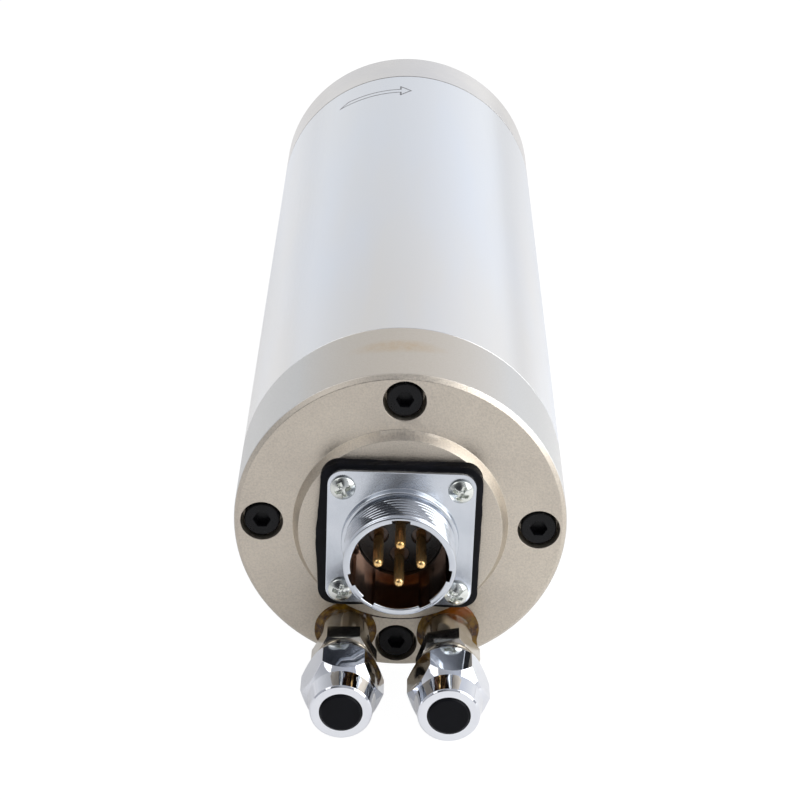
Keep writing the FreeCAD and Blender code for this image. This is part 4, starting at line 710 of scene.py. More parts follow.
def turned(section: np.ndarray, centre: tuple[float, float] = (0.0, 0.0),
           columns: int = 128) -> np.ndarray:
    """Turns a section of (radius, y) points about an axis along Y.

    Args:
        section: The section's points.
        centre: X and Z of the axis.
        columns: Steps round the axis.

    Returns:
        The grid of points.
    """
    angles = np.linspace(0, TURN, columns, endpoint=False)[None]
    return wrapped(section[:, :1], section[:, 1:], angles, centre)


def polar_square(side: float, corner: float, angles: np.ndarray) -> np.ndarray:
    """Gives the distance from the middle of a rounded square to its edge.

    Towards a side it is half / max(|cos a|, |sin a|). Within a corner it is the far meeting
    point of the ray with the corner's circle, d + sqrt(d² - m² + corner²), where d is the
    ray's length to the foot of the circle's middle and m is that middle's distance.

    Args:
        side: Width of the square.
        corner: Radius of its corners.
        angles: Directions, in radians.

    Returns:
        The distance in each direction.
    """
    half, inner = side / 2, side / 2 - corner
    across, up = np.abs(np.cos(angles)), np.abs(np.sin(angles))
    straight = half / np.maximum(across, up)
    foot = inner * (across + up)
    root = np.sqrt(np.maximum(foot ** 2 - 2 * inner ** 2 + corner ** 2, 0))
    low = np.minimum(across, up) * straight
    return np.where(low > inner, foot + root, straight)


def surface(name: str, grids: Sequence[np.ndarray], ring: bool = True,
            sharp_deg: float = 40.0) -> bpy.types.Object:
    """Makes one closed mesh of grids whose columns join round.

    Args:
        name: Name of the piece.
        grids: Points in millimetres, each an array of (rows, columns, 3).
        ring: Whether the last row meets the first. If not, both end rows close to a pole.
        sharp_deg: Angle over which an edge stays sharp.

    Returns:
        The piece, at the origin.
    """
    points, quads, fans, offset = [], [], [], 0
    for grid in grids:
        rows, columns = grid.shape[:2]
        index = offset + np.arange(rows * columns).reshape(rows, columns)
        here, there = (index, np.roll(index, -1, axis=0)) if ring else (index[:-1], index[1:])
        quads.append(np.stack([here, np.roll(here, -1, axis=1), np.roll(there, -1, axis=1), there],
                              axis=-1).reshape(-1, 4))
        points.append(grid.reshape(-1, 3))
        offset += rows * columns
        if not ring:
            points.append(np.stack([grid[0].mean(axis=0), grid[-1].mean(axis=0)]))
            poles = offset + np.repeat([0, 1], columns)
            rim = np.concatenate([index[0], index[-1]])
            onward = np.concatenate([np.roll(index[0], -1), np.roll(index[-1], -1)])
            fans.append(np.stack([poles, rim, onward], axis=-1))
            offset += 2
    faces = np.concatenate(quads).tolist()
    if fans:
        faces += np.concatenate(fans).tolist()
    mesh = bpy.data.meshes.new(name)
    mesh.from_pydata(np.concatenate(points) * MM, [], faces)
    piece = bpy.data.objects.new(name, mesh)
    bpy.context.scene.collection.objects.link(piece)
    smooth(piece, sharp_deg)
    return piece


def smooth(piece: bpy.types.Object, sharp_deg: float) -> None:
    """Points a piece's faces outwards and shades them smooth, with sharp edges kept.

    Args:
        piece: The piece.
        sharp_deg: Angle over which an edge stays sharp.
    """
    work = bmesh.new()
    work.from_mesh(piece.data)
    bmesh.ops.recalc_face_normals(work, faces=work.faces)
    work.to_mesh(piece.data)
    work.free()
    piece.data.shade_smooth()
    piece.data.set_sharp_from_angle(angle=math.radians(sharp_deg))


def softened(node: str, edge_mm: float, name: str, sharp_deg: float = 19.0) -> bpy.types.Object:
    """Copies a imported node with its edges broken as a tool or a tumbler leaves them.

    Args:
        node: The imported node.
        edge_mm: Width of the broken edge.
        name: Name of the copy.
        sharp_deg: Angle over which two faces meet in an edge. The nuts' chamfers meet the
            flats at 22 degrees and more, while the steps round a bore stay under 16.

    Returns:
        The copy, at the origin.
    """
    work = bmesh.new()
    work.from_mesh(frame["nodes"][node].data)
    bmesh.ops.remove_doubles(work, verts=work.verts, dist=MERGE_WITHIN)
    bmesh.ops.dissolve_limit(work, angle_limit=math.radians(FLAT_WITHIN_DEG), verts=work.verts,
                             edges=work.edges)
    mesh = bpy.data.meshes.new(name)
    work.to_mesh(mesh)
    work.free()
    piece = bpy.data.objects.new(name, mesh)
    bpy.context.scene.collection.objects.link(piece)
    smooth(piece, sharp_deg)
    edge = piece.modifiers.new("broken edges", "BEVEL")
    edge.width = edge_mm * MM
    edge.segments = EDGE_STEPS
    edge.limit_method = "ANGLE"
    edge.angle_limit = math.radians(sharp_deg)
    edge.harden_normals = True
    return piece


def dress(piece: bpy.types.Object, body: str, slot: str, *nodes: str,
          centre: tuple[float, float] = (0.0, 0.0), finish: Finish | None = None) -> None:
    """Fastens a piece to its body and gives it its finish.

    Args:
        piece: The piece.
        body: The moving body that carries it.
        slot: The record's slot that its finish stands for.
        *nodes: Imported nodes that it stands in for.
        centre: X and Z of the piece's own axis, in millimetres.
        finish: Another finish than the slot's own.
    """
    piece.data.materials.clear()
    piece.data.materials.append((finish or FINISHES[slot]).material(centre))
    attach(piece, body)
    for node in nodes:
        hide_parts(node)
    LOG.info("%s rides on %s with %s", piece.name, body, slot)


@dataclass
class Body:
    """The steel sleeve, its turning mark, its two plated ends and their screws.

    Attributes:
        radius: Outer radius of the sleeve.
        bore: Its inner radius.
        half_length: Half its length.
        edge: Size of the chamfer against the rear cover.
        fillet: Radius of the corners of the sleeve's section.
        sleeve_columns: Steps round the sleeve.
        seam: Width and depth of the seam against the front bearing housing.
        arrow_y: Where the turning mark lies along the sleeve.
        arrow_tail_deg: Angle of the mark's tail.
        arrow_neck_deg: Angle where its head starts.
        arrow_tip_deg: Angle of its tip.
        arrow_gap: Width between its two lines.
        arrow_head: Width of its head.
        arrow_line: Width of a line.
        arrow_rise: How far the line stands over the sleeve.
        arrow_sunk: How far its closed back lies under it.
        arrow_steps: Points along a line.
        edges: Node, slot and width of the broken edges of the plated ends and the screws.
    """

    radius: float = 32.48
    bore: float = 30.5
    half_length: float = 79.0
    edge: float = 0.1
    fillet: float = 0.04
    sleeve_columns: int = 256
    seam: tuple[float, float] = (0.35, 0.45)
    arrow_y: float = 67.2
    arrow_tail_deg: float = 121.0
    arrow_neck_deg: float = 94.3
    arrow_tip_deg: float = 89.7
    arrow_gap: float = 2.2
    arrow_head: float = 6.4
    arrow_line: float = 0.4
    arrow_rise: float = 0.012
    arrow_sunk: float = 0.3
    arrow_steps: int = 60
    edges: tuple[tuple[str, str, float], ...] = (
        ("rear_cover", "plated_cover", 0.12),
        ("front_bearing_housing", "plated_front", 0.12),
        ("rear_cover_screws", "black_screws", 0.12),
        ("front_housing_screws", "black_screws", 0.12),
        ("front_cover_screws", "black_screws", 0.1),
    )

    def sleeve(self) -> bpy.types.Object:
        """Turns the sleeve's section, a long box that is chamfered at both ends.

        Returns:
            The sleeve.
        """
        half, edge = self.half_length, self.edge
        wide, deep = self.seam
        section = [
            (self.radius - edge, -half), (self.radius, -half + edge), (self.radius, half - wide),
            (self.radius - deep, half), (self.bore, half), (self.bore, -half),
        ]
        section = rounded(section, self.fillet, closed=True)
        return surface("steel_sleeve", [turned(section, columns=self.sleeve_columns)])

    def mark(self) -> bpy.types.Object:
        """Etches the outline of an arrow that shows which way the shaft turns.

        Each line of the outline is a strip over (angle, y) points, wrapped just over the
        sleeve's own radius: x = R cos a, z = R sin a, with a sunk closed back.

        Returns:
            The mark.
        """
        half, head = self.arrow_gap / 2, self.arrow_head / 2
        slant = math.degrees(half / self.radius)
        outline = np.array([
            (self.arrow_tail_deg - slant, self.arrow_y + half),
            (self.arrow_neck_deg, self.arrow_y + half), (self.arrow_neck_deg, self.arrow_y + head),
            (self.arrow_tip_deg, self.arrow_y), (self.arrow_neck_deg, self.arrow_y - head),
            (self.arrow_neck_deg, self.arrow_y - half),
            (self.arrow_tail_deg + slant, self.arrow_y - half),
        ])
        flat = np.stack([np.radians(outline[:, 0]) * self.radius, outline[:, 1]], axis=1)
        strips = []
        for start, end in zip(flat, np.roll(flat, -1, axis=0)):
            along = (end - start) / np.linalg.norm(end - start)
            side = np.array([-along[1], along[0]]) * self.arrow_line / 2
            steps = np.linspace(0, 1, self.arrow_steps)[:, None]
            middle = start - along * self.arrow_line / 2 + steps * (
                end - start + along * self.arrow_line)
            rim = np.stack([middle - side, middle + side, middle + side, middle - side], axis=1)
            height = np.repeat([self.arrow_rise, -self.arrow_sunk], 2)[None]
            strips.append(wrapped(self.radius + height, rim[..., 1], rim[..., 0] / self.radius))
        return surface("turning_mark", strips, ring=False)

    def build(self) -> None:
        """Makes the sleeve, its mark, the plated ends and the sunk screws."""
        dress(self.sleeve(), HOUSING, "polished_steel", "outer_sleeve")
        dress(self.mark(), HOUSING, "polished_steel", finish=ETCH)
        for node, slot, edge in self.edges:
            dress(softened(node, edge, node + "_finished"), HOUSING, slot, node)


@dataclass
class Connector:
    """The electrical connector: gasket, shell with thread and keyways, insert and screws.

    Attributes:
        gasket_side: Width of the gasket.
        gasket_corner: Radius of its corners.
        gasket_inset: How far its edge lies inside that square, to leave room for the waves.
        gasket_round: How far its edge is rounded at both faces.
        gasket_bulge: How far its left side swells.
        gasket_bulge_deg: Middle and width of that swelling, as angles.
        gasket_waves: Height of each wave of its edge, how many go round, and how far the
            wave turns from one row to the next, in radians.
        gasket_lips: How far in from its edge the flat of each face stops, flange side first.
        gasket_hole: How much larger than the back tube its hole is, in radius.
        gasket_grid: Steps round it, and rows through its thickness.
        gasket_back: Where it starts along the axis.
        gasket_face: Where it ends.
        flange_side: Width of the flange.
        flange_corner: Radius of its corners.
        flange_edge: Size of its rounded edges, and how near the corner a round's middle lies.
        flange_lift: How much higher than the socket its middle lies.
        flange_rows: Its first row along the shell's section, and the first one past it.
        flange_face: Its face.
        back_r: Radius of the shell's back tube.
        back_end: End of the back tube.
        collar_r: Radius of the collar on the flange.
        collar_end: Its end.
        collar_fillet: Size of the fillet at its foot, and how far out its middle lies.
        collar_round: Size of its rounded end, and how far in its middle lies.
        relief_r: Radius of the relief behind the thread.
        relief_end: Its end.
        relief_rise: Length over which the thread rises from it.
        crest_r: Radius of the thread's crests.
        root_r: Radius of its roots.
        pitch: Its pitch.
        thread_wave: Slope and offset that give its wave flat tops and roots.
        thread_rows: Rows of points along it.
        thread_end: How far behind the barrel's end face it stops.
        thread_fade: Length over which it fades out there.
        barrel_face: The barrel's end face.
        barrel_edge: Points of its rounded outer edge, inwards from the crests and back from
            the end face.
        mouth_edge: Points of the socket's rounded mouth, outwards from its wall and back from
            the end face.
        socket_r: Radius of the socket.
        keyway_depth: Depth of its key slots.
        shelf: Where the socket ends.
        floor_r: Radius of the bore past the shelf.
        floor_edge: How far past the shelf the bore's first row lies.
        keyways: Angle and width of each key slot.
        keyway_wall: Half the angle over which the wall of a slot drops, in radians.
        shell_columns: Steps round the shell, apart from those at the key slots.
        screw_place: Half the spacing of the flange's screws.
        screw_turns: How far each screw is turned, in degrees.
        screw_r: Radius of a screw's head.
        screw_top: Height of the head.
        screw_band: Height of its straight side.
        screw_sunk: How far its foot lies in the flange.
        screw_round: How far under the band its straight side stops.
        screw_rim: Shares of its radius at which its seat, its side and its rounded edge lie.
        screw_crown: First and last share of its radius over its crown, and how many rows.
        screw_columns: Steps round it.
        cross_arm: Half the width of an arm of the recess, and how much of it slopes.
        cross_tip: Reach of an arm, and how much of it slopes.
        cross_depth: Depth of the recess in its middle.
        cross_flat: Share of that depth that the arms keep to their tips.
        insert_edge: Width of the insert's broken edges.
    """

    gasket_side: float = 31.2
    gasket_corner: float = 3.5
    gasket_inset: float = 0.12
    gasket_round: float = 0.08
    gasket_bulge: float = 0.85
    gasket_bulge_deg: tuple[float, float] = (186.0, 27.0)
    gasket_waves: tuple[tuple[float, int, float], ...] = ((0.1, 5, 0.6), (0.05, 23, 1.3))
    gasket_lips: tuple[float, float] = (0.15, 0.1)
    gasket_hole: float = 0.1
    gasket_grid: tuple[int, int] = (480, 6)
    gasket_back: float = -102.7
    gasket_face: float = -104.9
    flange_side: float = 28.4
    flange_corner: float = 3.0
    flange_edge: tuple[float, float] = (0.12, 0.3)
    flange_lift: float = 0.3
    flange_rows: tuple[int, int] = (2, 8)
    flange_face: float = -106.3
    back_r: float = 9.2
    back_end: float = -95.4
    collar_r: float = 11.3
    collar_end: float = -107.8
    collar_fillet: tuple[float, float] = (0.25, 0.05)
    collar_round: tuple[float, float] = (0.3, 0.09)
    relief_r: float = 10.2
    relief_end: float = -108.5
    relief_rise: float = 0.03
    crest_r: float = 10.7
    root_r: float = 10.12
    pitch: float = 1.0
    thread_wave: tuple[float, float] = (1.35, 0.12)
    thread_rows: int = 85
    thread_end: float = 0.35
    thread_fade: float = 0.7
    barrel_face: float = -116.4
    barrel_edge: tuple[tuple[float, float], ...] = ((0.1, 0.12), (0.35, 0.0))
    mouth_edge: tuple[tuple[float, float], ...] = (
        (0.28, 0.0), (0.1, 0.06), (0.0, 0.25), (0.0, 0.5))
    socket_r: float = 9.3
    keyway_depth: float = 0.6
    shelf: float = -105.7
    floor_r: float = 8.2
    floor_edge: float = 0.4
    keyways: tuple[tuple[float, float], ...] = (
        (90.0, 3.4), (199.0, 2.6), (233.0, 2.6), (302.0, 2.4), (350.0, 2.4))
    keyway_wall: float = 0.004
    shell_columns: int = 360
    screw_place: float = 11.25
    screw_turns: tuple[float, ...] = (14.0, 66.0, 38.0, 27.0)
    screw_r: float = 2.4
    screw_top: float = 1.6
    screw_band: float = 0.55
    screw_sunk: float = 0.4
    screw_round: float = 0.06
    screw_rim: tuple[float, ...] = (1.0, 1.0, 0.985, 0.95)
    screw_crown: tuple[float, float, int] = (0.92, 0.02, 62)
    screw_columns: int = 180
    cross_arm: tuple[float, float] = (0.42, 0.12)
    cross_tip: tuple[float, float] = (1.6, 0.3)
    cross_depth: float = 1.15
    cross_flat: float = 0.6
    insert_edge: float = 0.08

    def gasket(self) -> bpy.types.Object:
        """Cuts the gasket: a rounded square whose sides waver as a knife leaves them.

        The edge lies at square(a) plus each wave's height · sin(count a + shift n), where a is
        the direction and n counts the rows through the thickness. On the left the screws
        press it outwards in a bell curve of the angle.

        Returns:
            The gasket.
        """
        steps, layers = self.gasket_grid
        angles = np.linspace(0, TURN, steps, endpoint=False)[None]
        rows = np.arange(layers)[:, None]
        middle, width = self.gasket_bulge_deg
        bell = np.exp(-((np.degrees(angles) - middle) / width) ** 2)
        square = polar_square(self.gasket_side, self.gasket_corner, angles) - self.gasket_inset
        edge = square + self.gasket_bulge * bell
        for height, count, shift in self.gasket_waves:
            edge = edge + height * np.sin(count * angles + shift * rows)
        depth = np.linspace(self.gasket_face, self.gasket_back, layers)[:, None]
        depth[0] += self.gasket_round
        depth[-1] -= self.gasket_round
        inner = np.full(angles.shape, self.back_r + self.gasket_hole)
        front_lip, back_lip = self.gasket_lips
        radius = np.concatenate([inner, edge[:1] - front_lip, edge, edge[-1:] - back_lip, inner])
        along = np.concatenate([np.full((2, 1), self.gasket_face), depth,
                                np.full((2, 1), self.gasket_back)])
        return surface("rubber_gasket", [wrapped(radius, along, angles)], sharp_deg=60)

    def key_angles(self) -> tuple[np.ndarray, np.ndarray]:
        """Gives the middle of each key slot and half its width, as angles in radians.

        Half the angle is arcsin(width / 2 / R), where R lies halfway down the slot.

        Returns:
            The middles and the halves.
        """
        angle, width = np.array(self.keyways).T
        return np.radians(angle), np.arcsin(width / 2 / (self.socket_r + self.keyway_depth / 2))

    def columns(self) -> np.ndarray:
        """Spreads columns evenly and doubles them at the sides of each key slot.

        Returns:
            Angles in radians, in one row.
        """
        even = np.linspace(0, TURN, self.shell_columns, endpoint=False)
        middle, half = self.key_angles()
        sides = np.concatenate([middle - half, middle + half])
        edges = np.concatenate([sides - self.keyway_wall, sides + self.keyway_wall]) % TURN
        return np.sort(np.concatenate([even, edges]))[None]

    def key_depth(self, angles: np.ndarray) -> np.ndarray:
        """Gives the depth of the key slots: full where |a - middle| is under half the width.

        Args:
            angles: Directions, in radians.

        Returns:
            The depth in each direction.
        """
        middle, half = (values[:, None] for values in self.key_angles())
        apart = np.abs((angles - middle + math.pi) % TURN - math.pi)
        return self.keyway_depth * (apart < half).any(axis=0)[None]

    def thread(self, angles: np.ndarray) -> tuple[np.ndarray, np.ndarray]:
        """Works out the barrel's thread, a helix that fades out at the barrel's end.

        The radius is root + (crest - root) · w, where w is a flat-topped wave of
        y / pitch + a / turn, and comes up to 1 at that end.

        Args:
            angles: Directions, in radians.

        Returns:
            The radius and the place along the axis, in rows from the flange outwards.
        """
        start, end = self.relief_end, self.barrel_face + self.thread_end
        along = np.linspace(start, end, self.thread_rows)[:, None]
        phase = along / self.pitch + angles / TURN
        slope, offset = self.thread_wave
        wave = np.clip(slope * np.abs((phase % 1.0) * 2 - 1) - offset, 0, 1)
        fade = np.clip((along - end) / self.thread_fade, 0, 1)
        wave = 1 - (1 - wave) * fade
        return self.root_r + (self.crest_r - self.root_r) * wave, along

    def shell(self) -> bpy.types.Object:
        """Casts the shell: back tube, flange, collar, threaded barrel and keyed socket.

        Rows run from the back tube out over the flange and the barrel, and down the socket.
        Two or three rows round each corner. The flange's rows are stretched upwards,
        z (1 + 2 lift / side) + lift.

        Returns:
            The shell.
        """
        angles = self.columns()
        plate = polar_square(self.flange_side, self.flange_corner, angles)
        keys = self.key_depth(angles)
        socket = self.socket_r + keys
        back, front, collar, end = (self.gasket_face, self.flange_face, self.collar_r,
                                    self.collar_end)
        (edge, near), (foot, out), (top, inwards) = (self.flange_edge, self.collar_fillet,
                                                     self.collar_round)
        rows: list[tuple[np.ndarray | float, float]] = [
            (self.back_r, self.back_end), (self.back_r, back), (plate - edge, back),
            (plate, back - edge), (plate, front + 2 * edge),
            (plate - near * edge, front + near * edge), (plate - edge, front),
            (plate - 2 * edge, front), (collar + foot, front), (collar + out, front - out),
            (collar, front - foot), (collar, end + top), (collar - inwards, end + inwards),
            (collar - top, end), (self.relief_r, end),
            (self.relief_r, self.relief_end + self.relief_rise),
        ]
        radius = np.concatenate([np.broadcast_to(r, angles.shape) for r, _ in rows])
        along = np.array([[y] for _, y in rows])
        threads, thread_along = self.thread(angles)
        face, shelf = self.barrel_face, self.shelf
        ends: list[tuple[np.ndarray | float, float]] = [
            *((self.crest_r - inwards, face + behind) for inwards, behind in self.barrel_edge),
            *((socket + outwards, face + behind) for outwards, behind in self.mouth_edge),
            (socket, shelf), (self.floor_r, shelf), (self.floor_r, shelf + self.floor_edge),
            (self.floor_r, self.back_end),
        ]
        radius = np.concatenate([radius, threads]
                                + [np.broadcast_to(r, angles.shape) for r, _ in ends])
        along = np.concatenate([along, thread_along, [[y] for _, y in ends]])
        grid = wrapped(radius, along, angles)
        first, past = self.flange_rows
        flange_z = grid[first:past, :, 2]
        flange_z *= 1 + 2 * self.flange_lift / self.flange_side
        flange_z += self.flange_lift
        return surface("connector_shell_finished", [grid], sharp_deg=45)

    def screw(self, x: float, z: float, turn_deg: float) -> np.ndarray:
        """Shapes a pan head with a cross recess as a height over a disc.

        The height is band + (top - band) (1 - r²), less the recess, whose depth falls from
        its middle to its tips. A point is in the cross where the smaller of |u| and |v|, its
        distances from the two arms, is under half the arm's width.

        Args:
            x: Place of the screw across.
            z: Place of the screw upwards.
            turn_deg: How far the screw is turned.

        Returns:
            The grid of points, from the seat to the middle.
        """
        angles = np.linspace(0, TURN, self.screw_columns, endpoint=False)[None]
        share = np.concatenate([self.screw_rim, np.linspace(*self.screw_crown)])[:, None]
        height = self.screw_band + (self.screw_top - self.screw_band) * (1 - share ** 2)
        height[0], height[1] = -self.screw_sunk, self.screw_band - self.screw_round
        turned_by = angles + math.radians(turn_deg)
        u, v = share * self.screw_r * np.cos(turned_by), share * self.screw_r * np.sin(turned_by)
        near, far = np.minimum(np.abs(u), np.abs(v)), np.maximum(np.abs(u), np.abs(v))
        (half, slope), (reach, end) = self.cross_arm, self.cross_tip
        side = np.clip((half - near) / slope, 0, 1)
        fall = self.cross_flat + (1 - self.cross_flat) * np.clip(1 - far / reach, 0, 1)
        depth = np.clip((reach - far) / end, 0, 1) * fall
        height = height - self.cross_depth * side * depth
        return wrapped(self.screw_r * share, self.flange_face - height, angles, (x, z))

    def build(self) -> None:
        """Makes the connector's pieces."""
        dress(self.gasket(), HOUSING, "gasket_rubber", "connector_gasket")
        dress(self.shell(), HOUSING, "satin_zinc", "connector_shell")
        places = [(across * self.screw_place, up * self.screw_place)
                  for across in (-1, 1) for up in (-1, 1)]
        heads = [self.screw(x, z, turn) for (x, z), turn in zip(places, self.screw_turns)]
        dress(surface("flange_screws", heads, ring=False, sharp_deg=50), HOUSING,
              "bright_screws", "connector_screws")
        insert = softened("connector_insulator", self.insert_edge, "connector_insert")
        dress(insert, HOUSING, "connector_insert", "connector_insulator")


@dataclass
class WaterFitting:
    """One water fitting: screwed body, chromed hose nut, stopper, clamping ring and sealant.

    Attributes:
        side: Its name in the record.
        x: Its place across.
        z: Its place upwards.
        neck_r: Radius of the fitting's neck.
        cover_depth: How far behind the middle of the sleeve the cover's face lies.
        bead_r: Usual outer radius of the sealant.
        bead_film: Height of its film over the cover.
        bead_climb: How much higher it stands against the neck.
        bead_edge: Share of its width over which it turns down to nothing.
        bead_swell: How much higher the film is in a blob.
        bead_waver: How far its edge wavers.
        bead_waves: How many times each of its sines goes round.
        bead_sizes: Smallest and largest random size of a sine.
        bead_grid: Steps round it, and rows outwards.
        bead_sunk: How far it reaches into the neck, and into the cover.
        bead_seed: Seed of its uneven edge.
        bead_lobes: Angle, reach and width in degrees of each blob.
        edges: Piece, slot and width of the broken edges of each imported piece.
    """

    side: str
    x: float
    z: float = -24.0
    neck_r: float = 4.93
    cover_depth: float = 100.5
    bead_r: float = 6.1
    bead_film: float = 0.2
    bead_climb: float = 0.6
    bead_edge: float = 0.15
    bead_swell: float = 0.35
    bead_waver: float = 0.35
    bead_waves: tuple[int, ...] = (2, 3, 5, 7)
    bead_sizes: tuple[float, float] = (0.5, 1.0)
    bead_grid: tuple[int, int] = (200, 18)
    bead_sunk: tuple[float, float] = (0.25, 0.04)
    bead_seed: int = 3
    bead_lobes: tuple[tuple[float, float, float], ...] = ()
    edges: tuple[tuple[str, str, float], ...] = (
        ("fitting_body", "nickel_fitting", 0.07),
        ("nut", "chrome_nut", 0.13),
        ("plug", "black_plug", 0.1),
        ("ferrule", "ferrule_brass", 0.05),
    )

    @property
    def centre(self) -> tuple[float, float]:
        """Gives X and Z of the fitting's axis."""
        return self.x, self.z

    def bead(self) -> np.ndarray:
        """Shapes the sealant that spread over the cover round the neck.

        Its height over the cover falls from the neck outwards as film + climb (1 - s)², where s
        is the share of the way to its outer radius r(a), and turns down to nothing at its
        edge. r(a) is the usual radius plus four sines of random size and phase and the blobs,
        each a bell curve of the angle. A blob lifts the film as well.

        Returns:
            The grid of points.
        """
        dice = np.random.default_rng(self.bead_seed)
        steps, rows = self.bead_grid
        angles = np.linspace(0, TURN, steps, endpoint=False)[None]
        wave = sum(dice.uniform(*self.bead_sizes) / count * self.bead_waver
                   * np.sin(count * angles + dice.uniform(0, TURN)) for count in self.bead_waves)
        swell = sum((reach * np.exp(-(((angles - math.radians(at) + math.pi) % TURN - math.pi)
                                      / math.radians(width)) ** 2)
                     for at, reach, width in self.bead_lobes), np.zeros_like(angles))
        outer = self.bead_r + wave + swell
        share = np.linspace(0, 1, rows)[:, None]
        film = self.bead_film + self.bead_swell * np.clip(swell, 0, 1)
        turn_down = np.sqrt(np.clip((1 - share) / self.bead_edge, 0, 1))
        height = (film + self.bead_climb * (1 - share) ** 2) * turn_down
        radius = self.neck_r + (outer - self.neck_r) * share
        into_neck, into_cover = self.bead_sunk
        inner = np.full_like(angles, self.neck_r - into_neck)
        radius = np.concatenate([inner, radius, radius[-1:], inner])
        foot = np.full_like(angles, into_cover - self.cover_depth)
        along = np.concatenate([-self.cover_depth - height[:1], -self.cover_depth - height,
                                foot, foot])
        return wrapped(radius, along, angles, self.centre)

    def build(self) -> None:
        """Makes the fitting's pieces. All but its body move, each as a body of its own name."""
        for piece, slot, edge in self.edges:
            node = f"{self.side}_{piece}"
            body = HOUSING if piece == "fitting_body" else node
            dress(softened(node, edge, node + "_finished"), body, slot, node, centre=self.centre)


@dataclass
class WaterFittings:
    """The two water fittings and the sealant round and between them.

    Attributes:
        inlet: The left one as the camera sees them.
        outlet: The right one.
        seep_r: Radius of the thin line of sealant that crept along the boss's foot.
        seep_wide: Half the width of that line.
        seep_high: Its height over the cover.
        seep_deg: Angles between which it runs.
        seep_waves: How far its width swells, and how many times in a turn.
        seep_tip: Lowest share of its width that is left at its ends, before the root.
        seep_power: Power that brings it down at its ends.
        seep_grid: Sections along it, and points round each.
    """

    inlet: WaterFitting = field(default_factory=lambda: WaterFitting("inlet", -10.15))
    outlet: WaterFitting = field(default_factory=lambda: WaterFitting(
        "outlet", 10.15, bead_seed=8,
        bead_lobes=((66.0, 0.7, 26.0), (20.0, 0.4, 20.0), (332.0, 0.9, 9.0))))
    seep_r: float = 21.2
    seep_wide: float = 0.24
    seep_high: float = 0.16
    seep_deg: tuple[float, float] = (236.0, 304.0)
    seep_waves: tuple[float, int] = (0.3, 9)
    seep_tip: float = 0.02
    seep_power: int = 8
    seep_grid: tuple[int, int] = (120, 12)

    def seep(self) -> np.ndarray:
        """Sweeps the thin line of sealant round the boss's foot.

        Its section is a flat oval whose width swells and shrinks as 1 + swing sin(count a),
        and comes down to nearly nothing at both ends as sqrt(1 - t^power), t from -1 to 1.

        Returns:
            The grid of points, from one end to the other.
        """
        steps, columns = self.seep_grid
        at = np.radians(np.linspace(*self.seep_deg, steps))[:, None]
        round_it = np.linspace(0, TURN, columns, endpoint=False)[None]
        t = np.linspace(-1, 1, steps)[:, None]
        end = np.sqrt(np.clip(1 - t ** self.seep_power, self.seep_tip, 1))
        swing, count = self.seep_waves
        wide = self.seep_wide * (1 + swing * np.sin(count * at)) * end
        radius = self.seep_r + wide * np.cos(round_it)
        along = -self.inlet.cover_depth - self.seep_high * end * np.sin(round_it)
        return wrapped(radius, along, at)

    def build(self) -> None:
        """Makes both fittings, both beads and the line between them."""
        self.inlet.build()
        self.outlet.build()
        beads = surface("sealant_beads", [self.inlet.bead(), self.outlet.bead()], sharp_deg=80)
        seep = surface("sealant_seep", [self.seep()], ring=False, sharp_deg=80)
        dress(seep, HOUSING, "amber_sealant", finish=SEEP)
        dress(beads, HOUSING, "amber_sealant", "thread_sealant")


@dataclass
class Nose:
    """The turning end: flinger, shaft, collet and its nut.

    Attributes:
        edges: Node, body, slot and width of the broken edges of each piece.
    """

    edges: tuple[tuple[str, str, str, float], ...] = (
        ("front_flinger", "spindle", "plated_front", 0.1),
        ("spindle_shaft", "spindle", "ground_shaft", 0.08),
        ("collet", "collet", "collet_steel", 0.06),
        ("collet_nut", "collet_nut", "nut_steel", 0.15),
    )

    def build(self) -> None:
        """Makes the nose's pieces."""
        for node, body, slot, edge in self.edges:
            dress(softened(node, edge, node + "_finished"), body, slot, node)


@dataclass
class Packed:
    """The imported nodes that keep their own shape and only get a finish."""

    def build(self) -> None:
        """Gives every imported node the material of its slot."""
        for part in frame["record"]["subparts"]:
            materials = frame["nodes"][part["node"]].data.materials
            materials.clear()
            materials.append(FINISHES[part["material_slot"]].material())
            LOG.info("%s has %s", part["node"], part["material_slot"])


@dataclass
class PhotoCamera:
    """The camera at the photograph's place.

    Attributes:
        place: Where it stands, in metres.
        turn_deg: Its turn about Z from looking along +Y.
        down_deg: How far it looks down.
        roll_deg: Its roll.
        pixels: Focal length in pixels.
        frame_pixels: Width of the photograph's frame in pixels.
        sensor: Sensor width in millimetres.
        reach: Nearest and farthest that it sees, in metres.
    """

    place: tuple[float, float, float] = (-0.00344, -0.47831, 0.21451)
    turn_deg: float = -0.380
    down_deg: float = 26.363
    roll_deg: float = 2.052
    pixels: float = 2227.6
    frame_pixels: int = 800
    sensor: float = 36.0
    reach: tuple[float, float] = (0.01, 20.0)

    def build(self) -> None:
        """Makes the camera and sets it as the scene's own."""
        turn, down, roll = map(math.radians, (self.turn_deg, self.down_deg, self.roll_deg))
        forward = Vector((-math.sin(turn) * math.cos(down), math.cos(turn) * math.cos(down),
                          -math.sin(down)))
        right = Vector((math.cos(turn), math.sin(turn), 0.0))
        up = right.cross(forward)
        across = math.cos(roll) * right + math.sin(roll) * up
        upright = -math.sin(roll) * right + math.cos(roll) * up
        lens = bpy.data.cameras.new("photo camera")
        lens.sensor_width = self.sensor
        lens.lens = self.pixels * self.sensor / self.frame_pixels
        lens.clip_start, lens.clip_end = self.reach
        camera = bpy.data.objects.new("photo camera", lens)
        camera.matrix_world = Matrix.Translation(self.place) @ Matrix(
            (across, upright, -forward)).transposed().to_4x4()
        bpy.context.scene.collection.objects.link(camera)
        bpy.context.scene.camera = camera


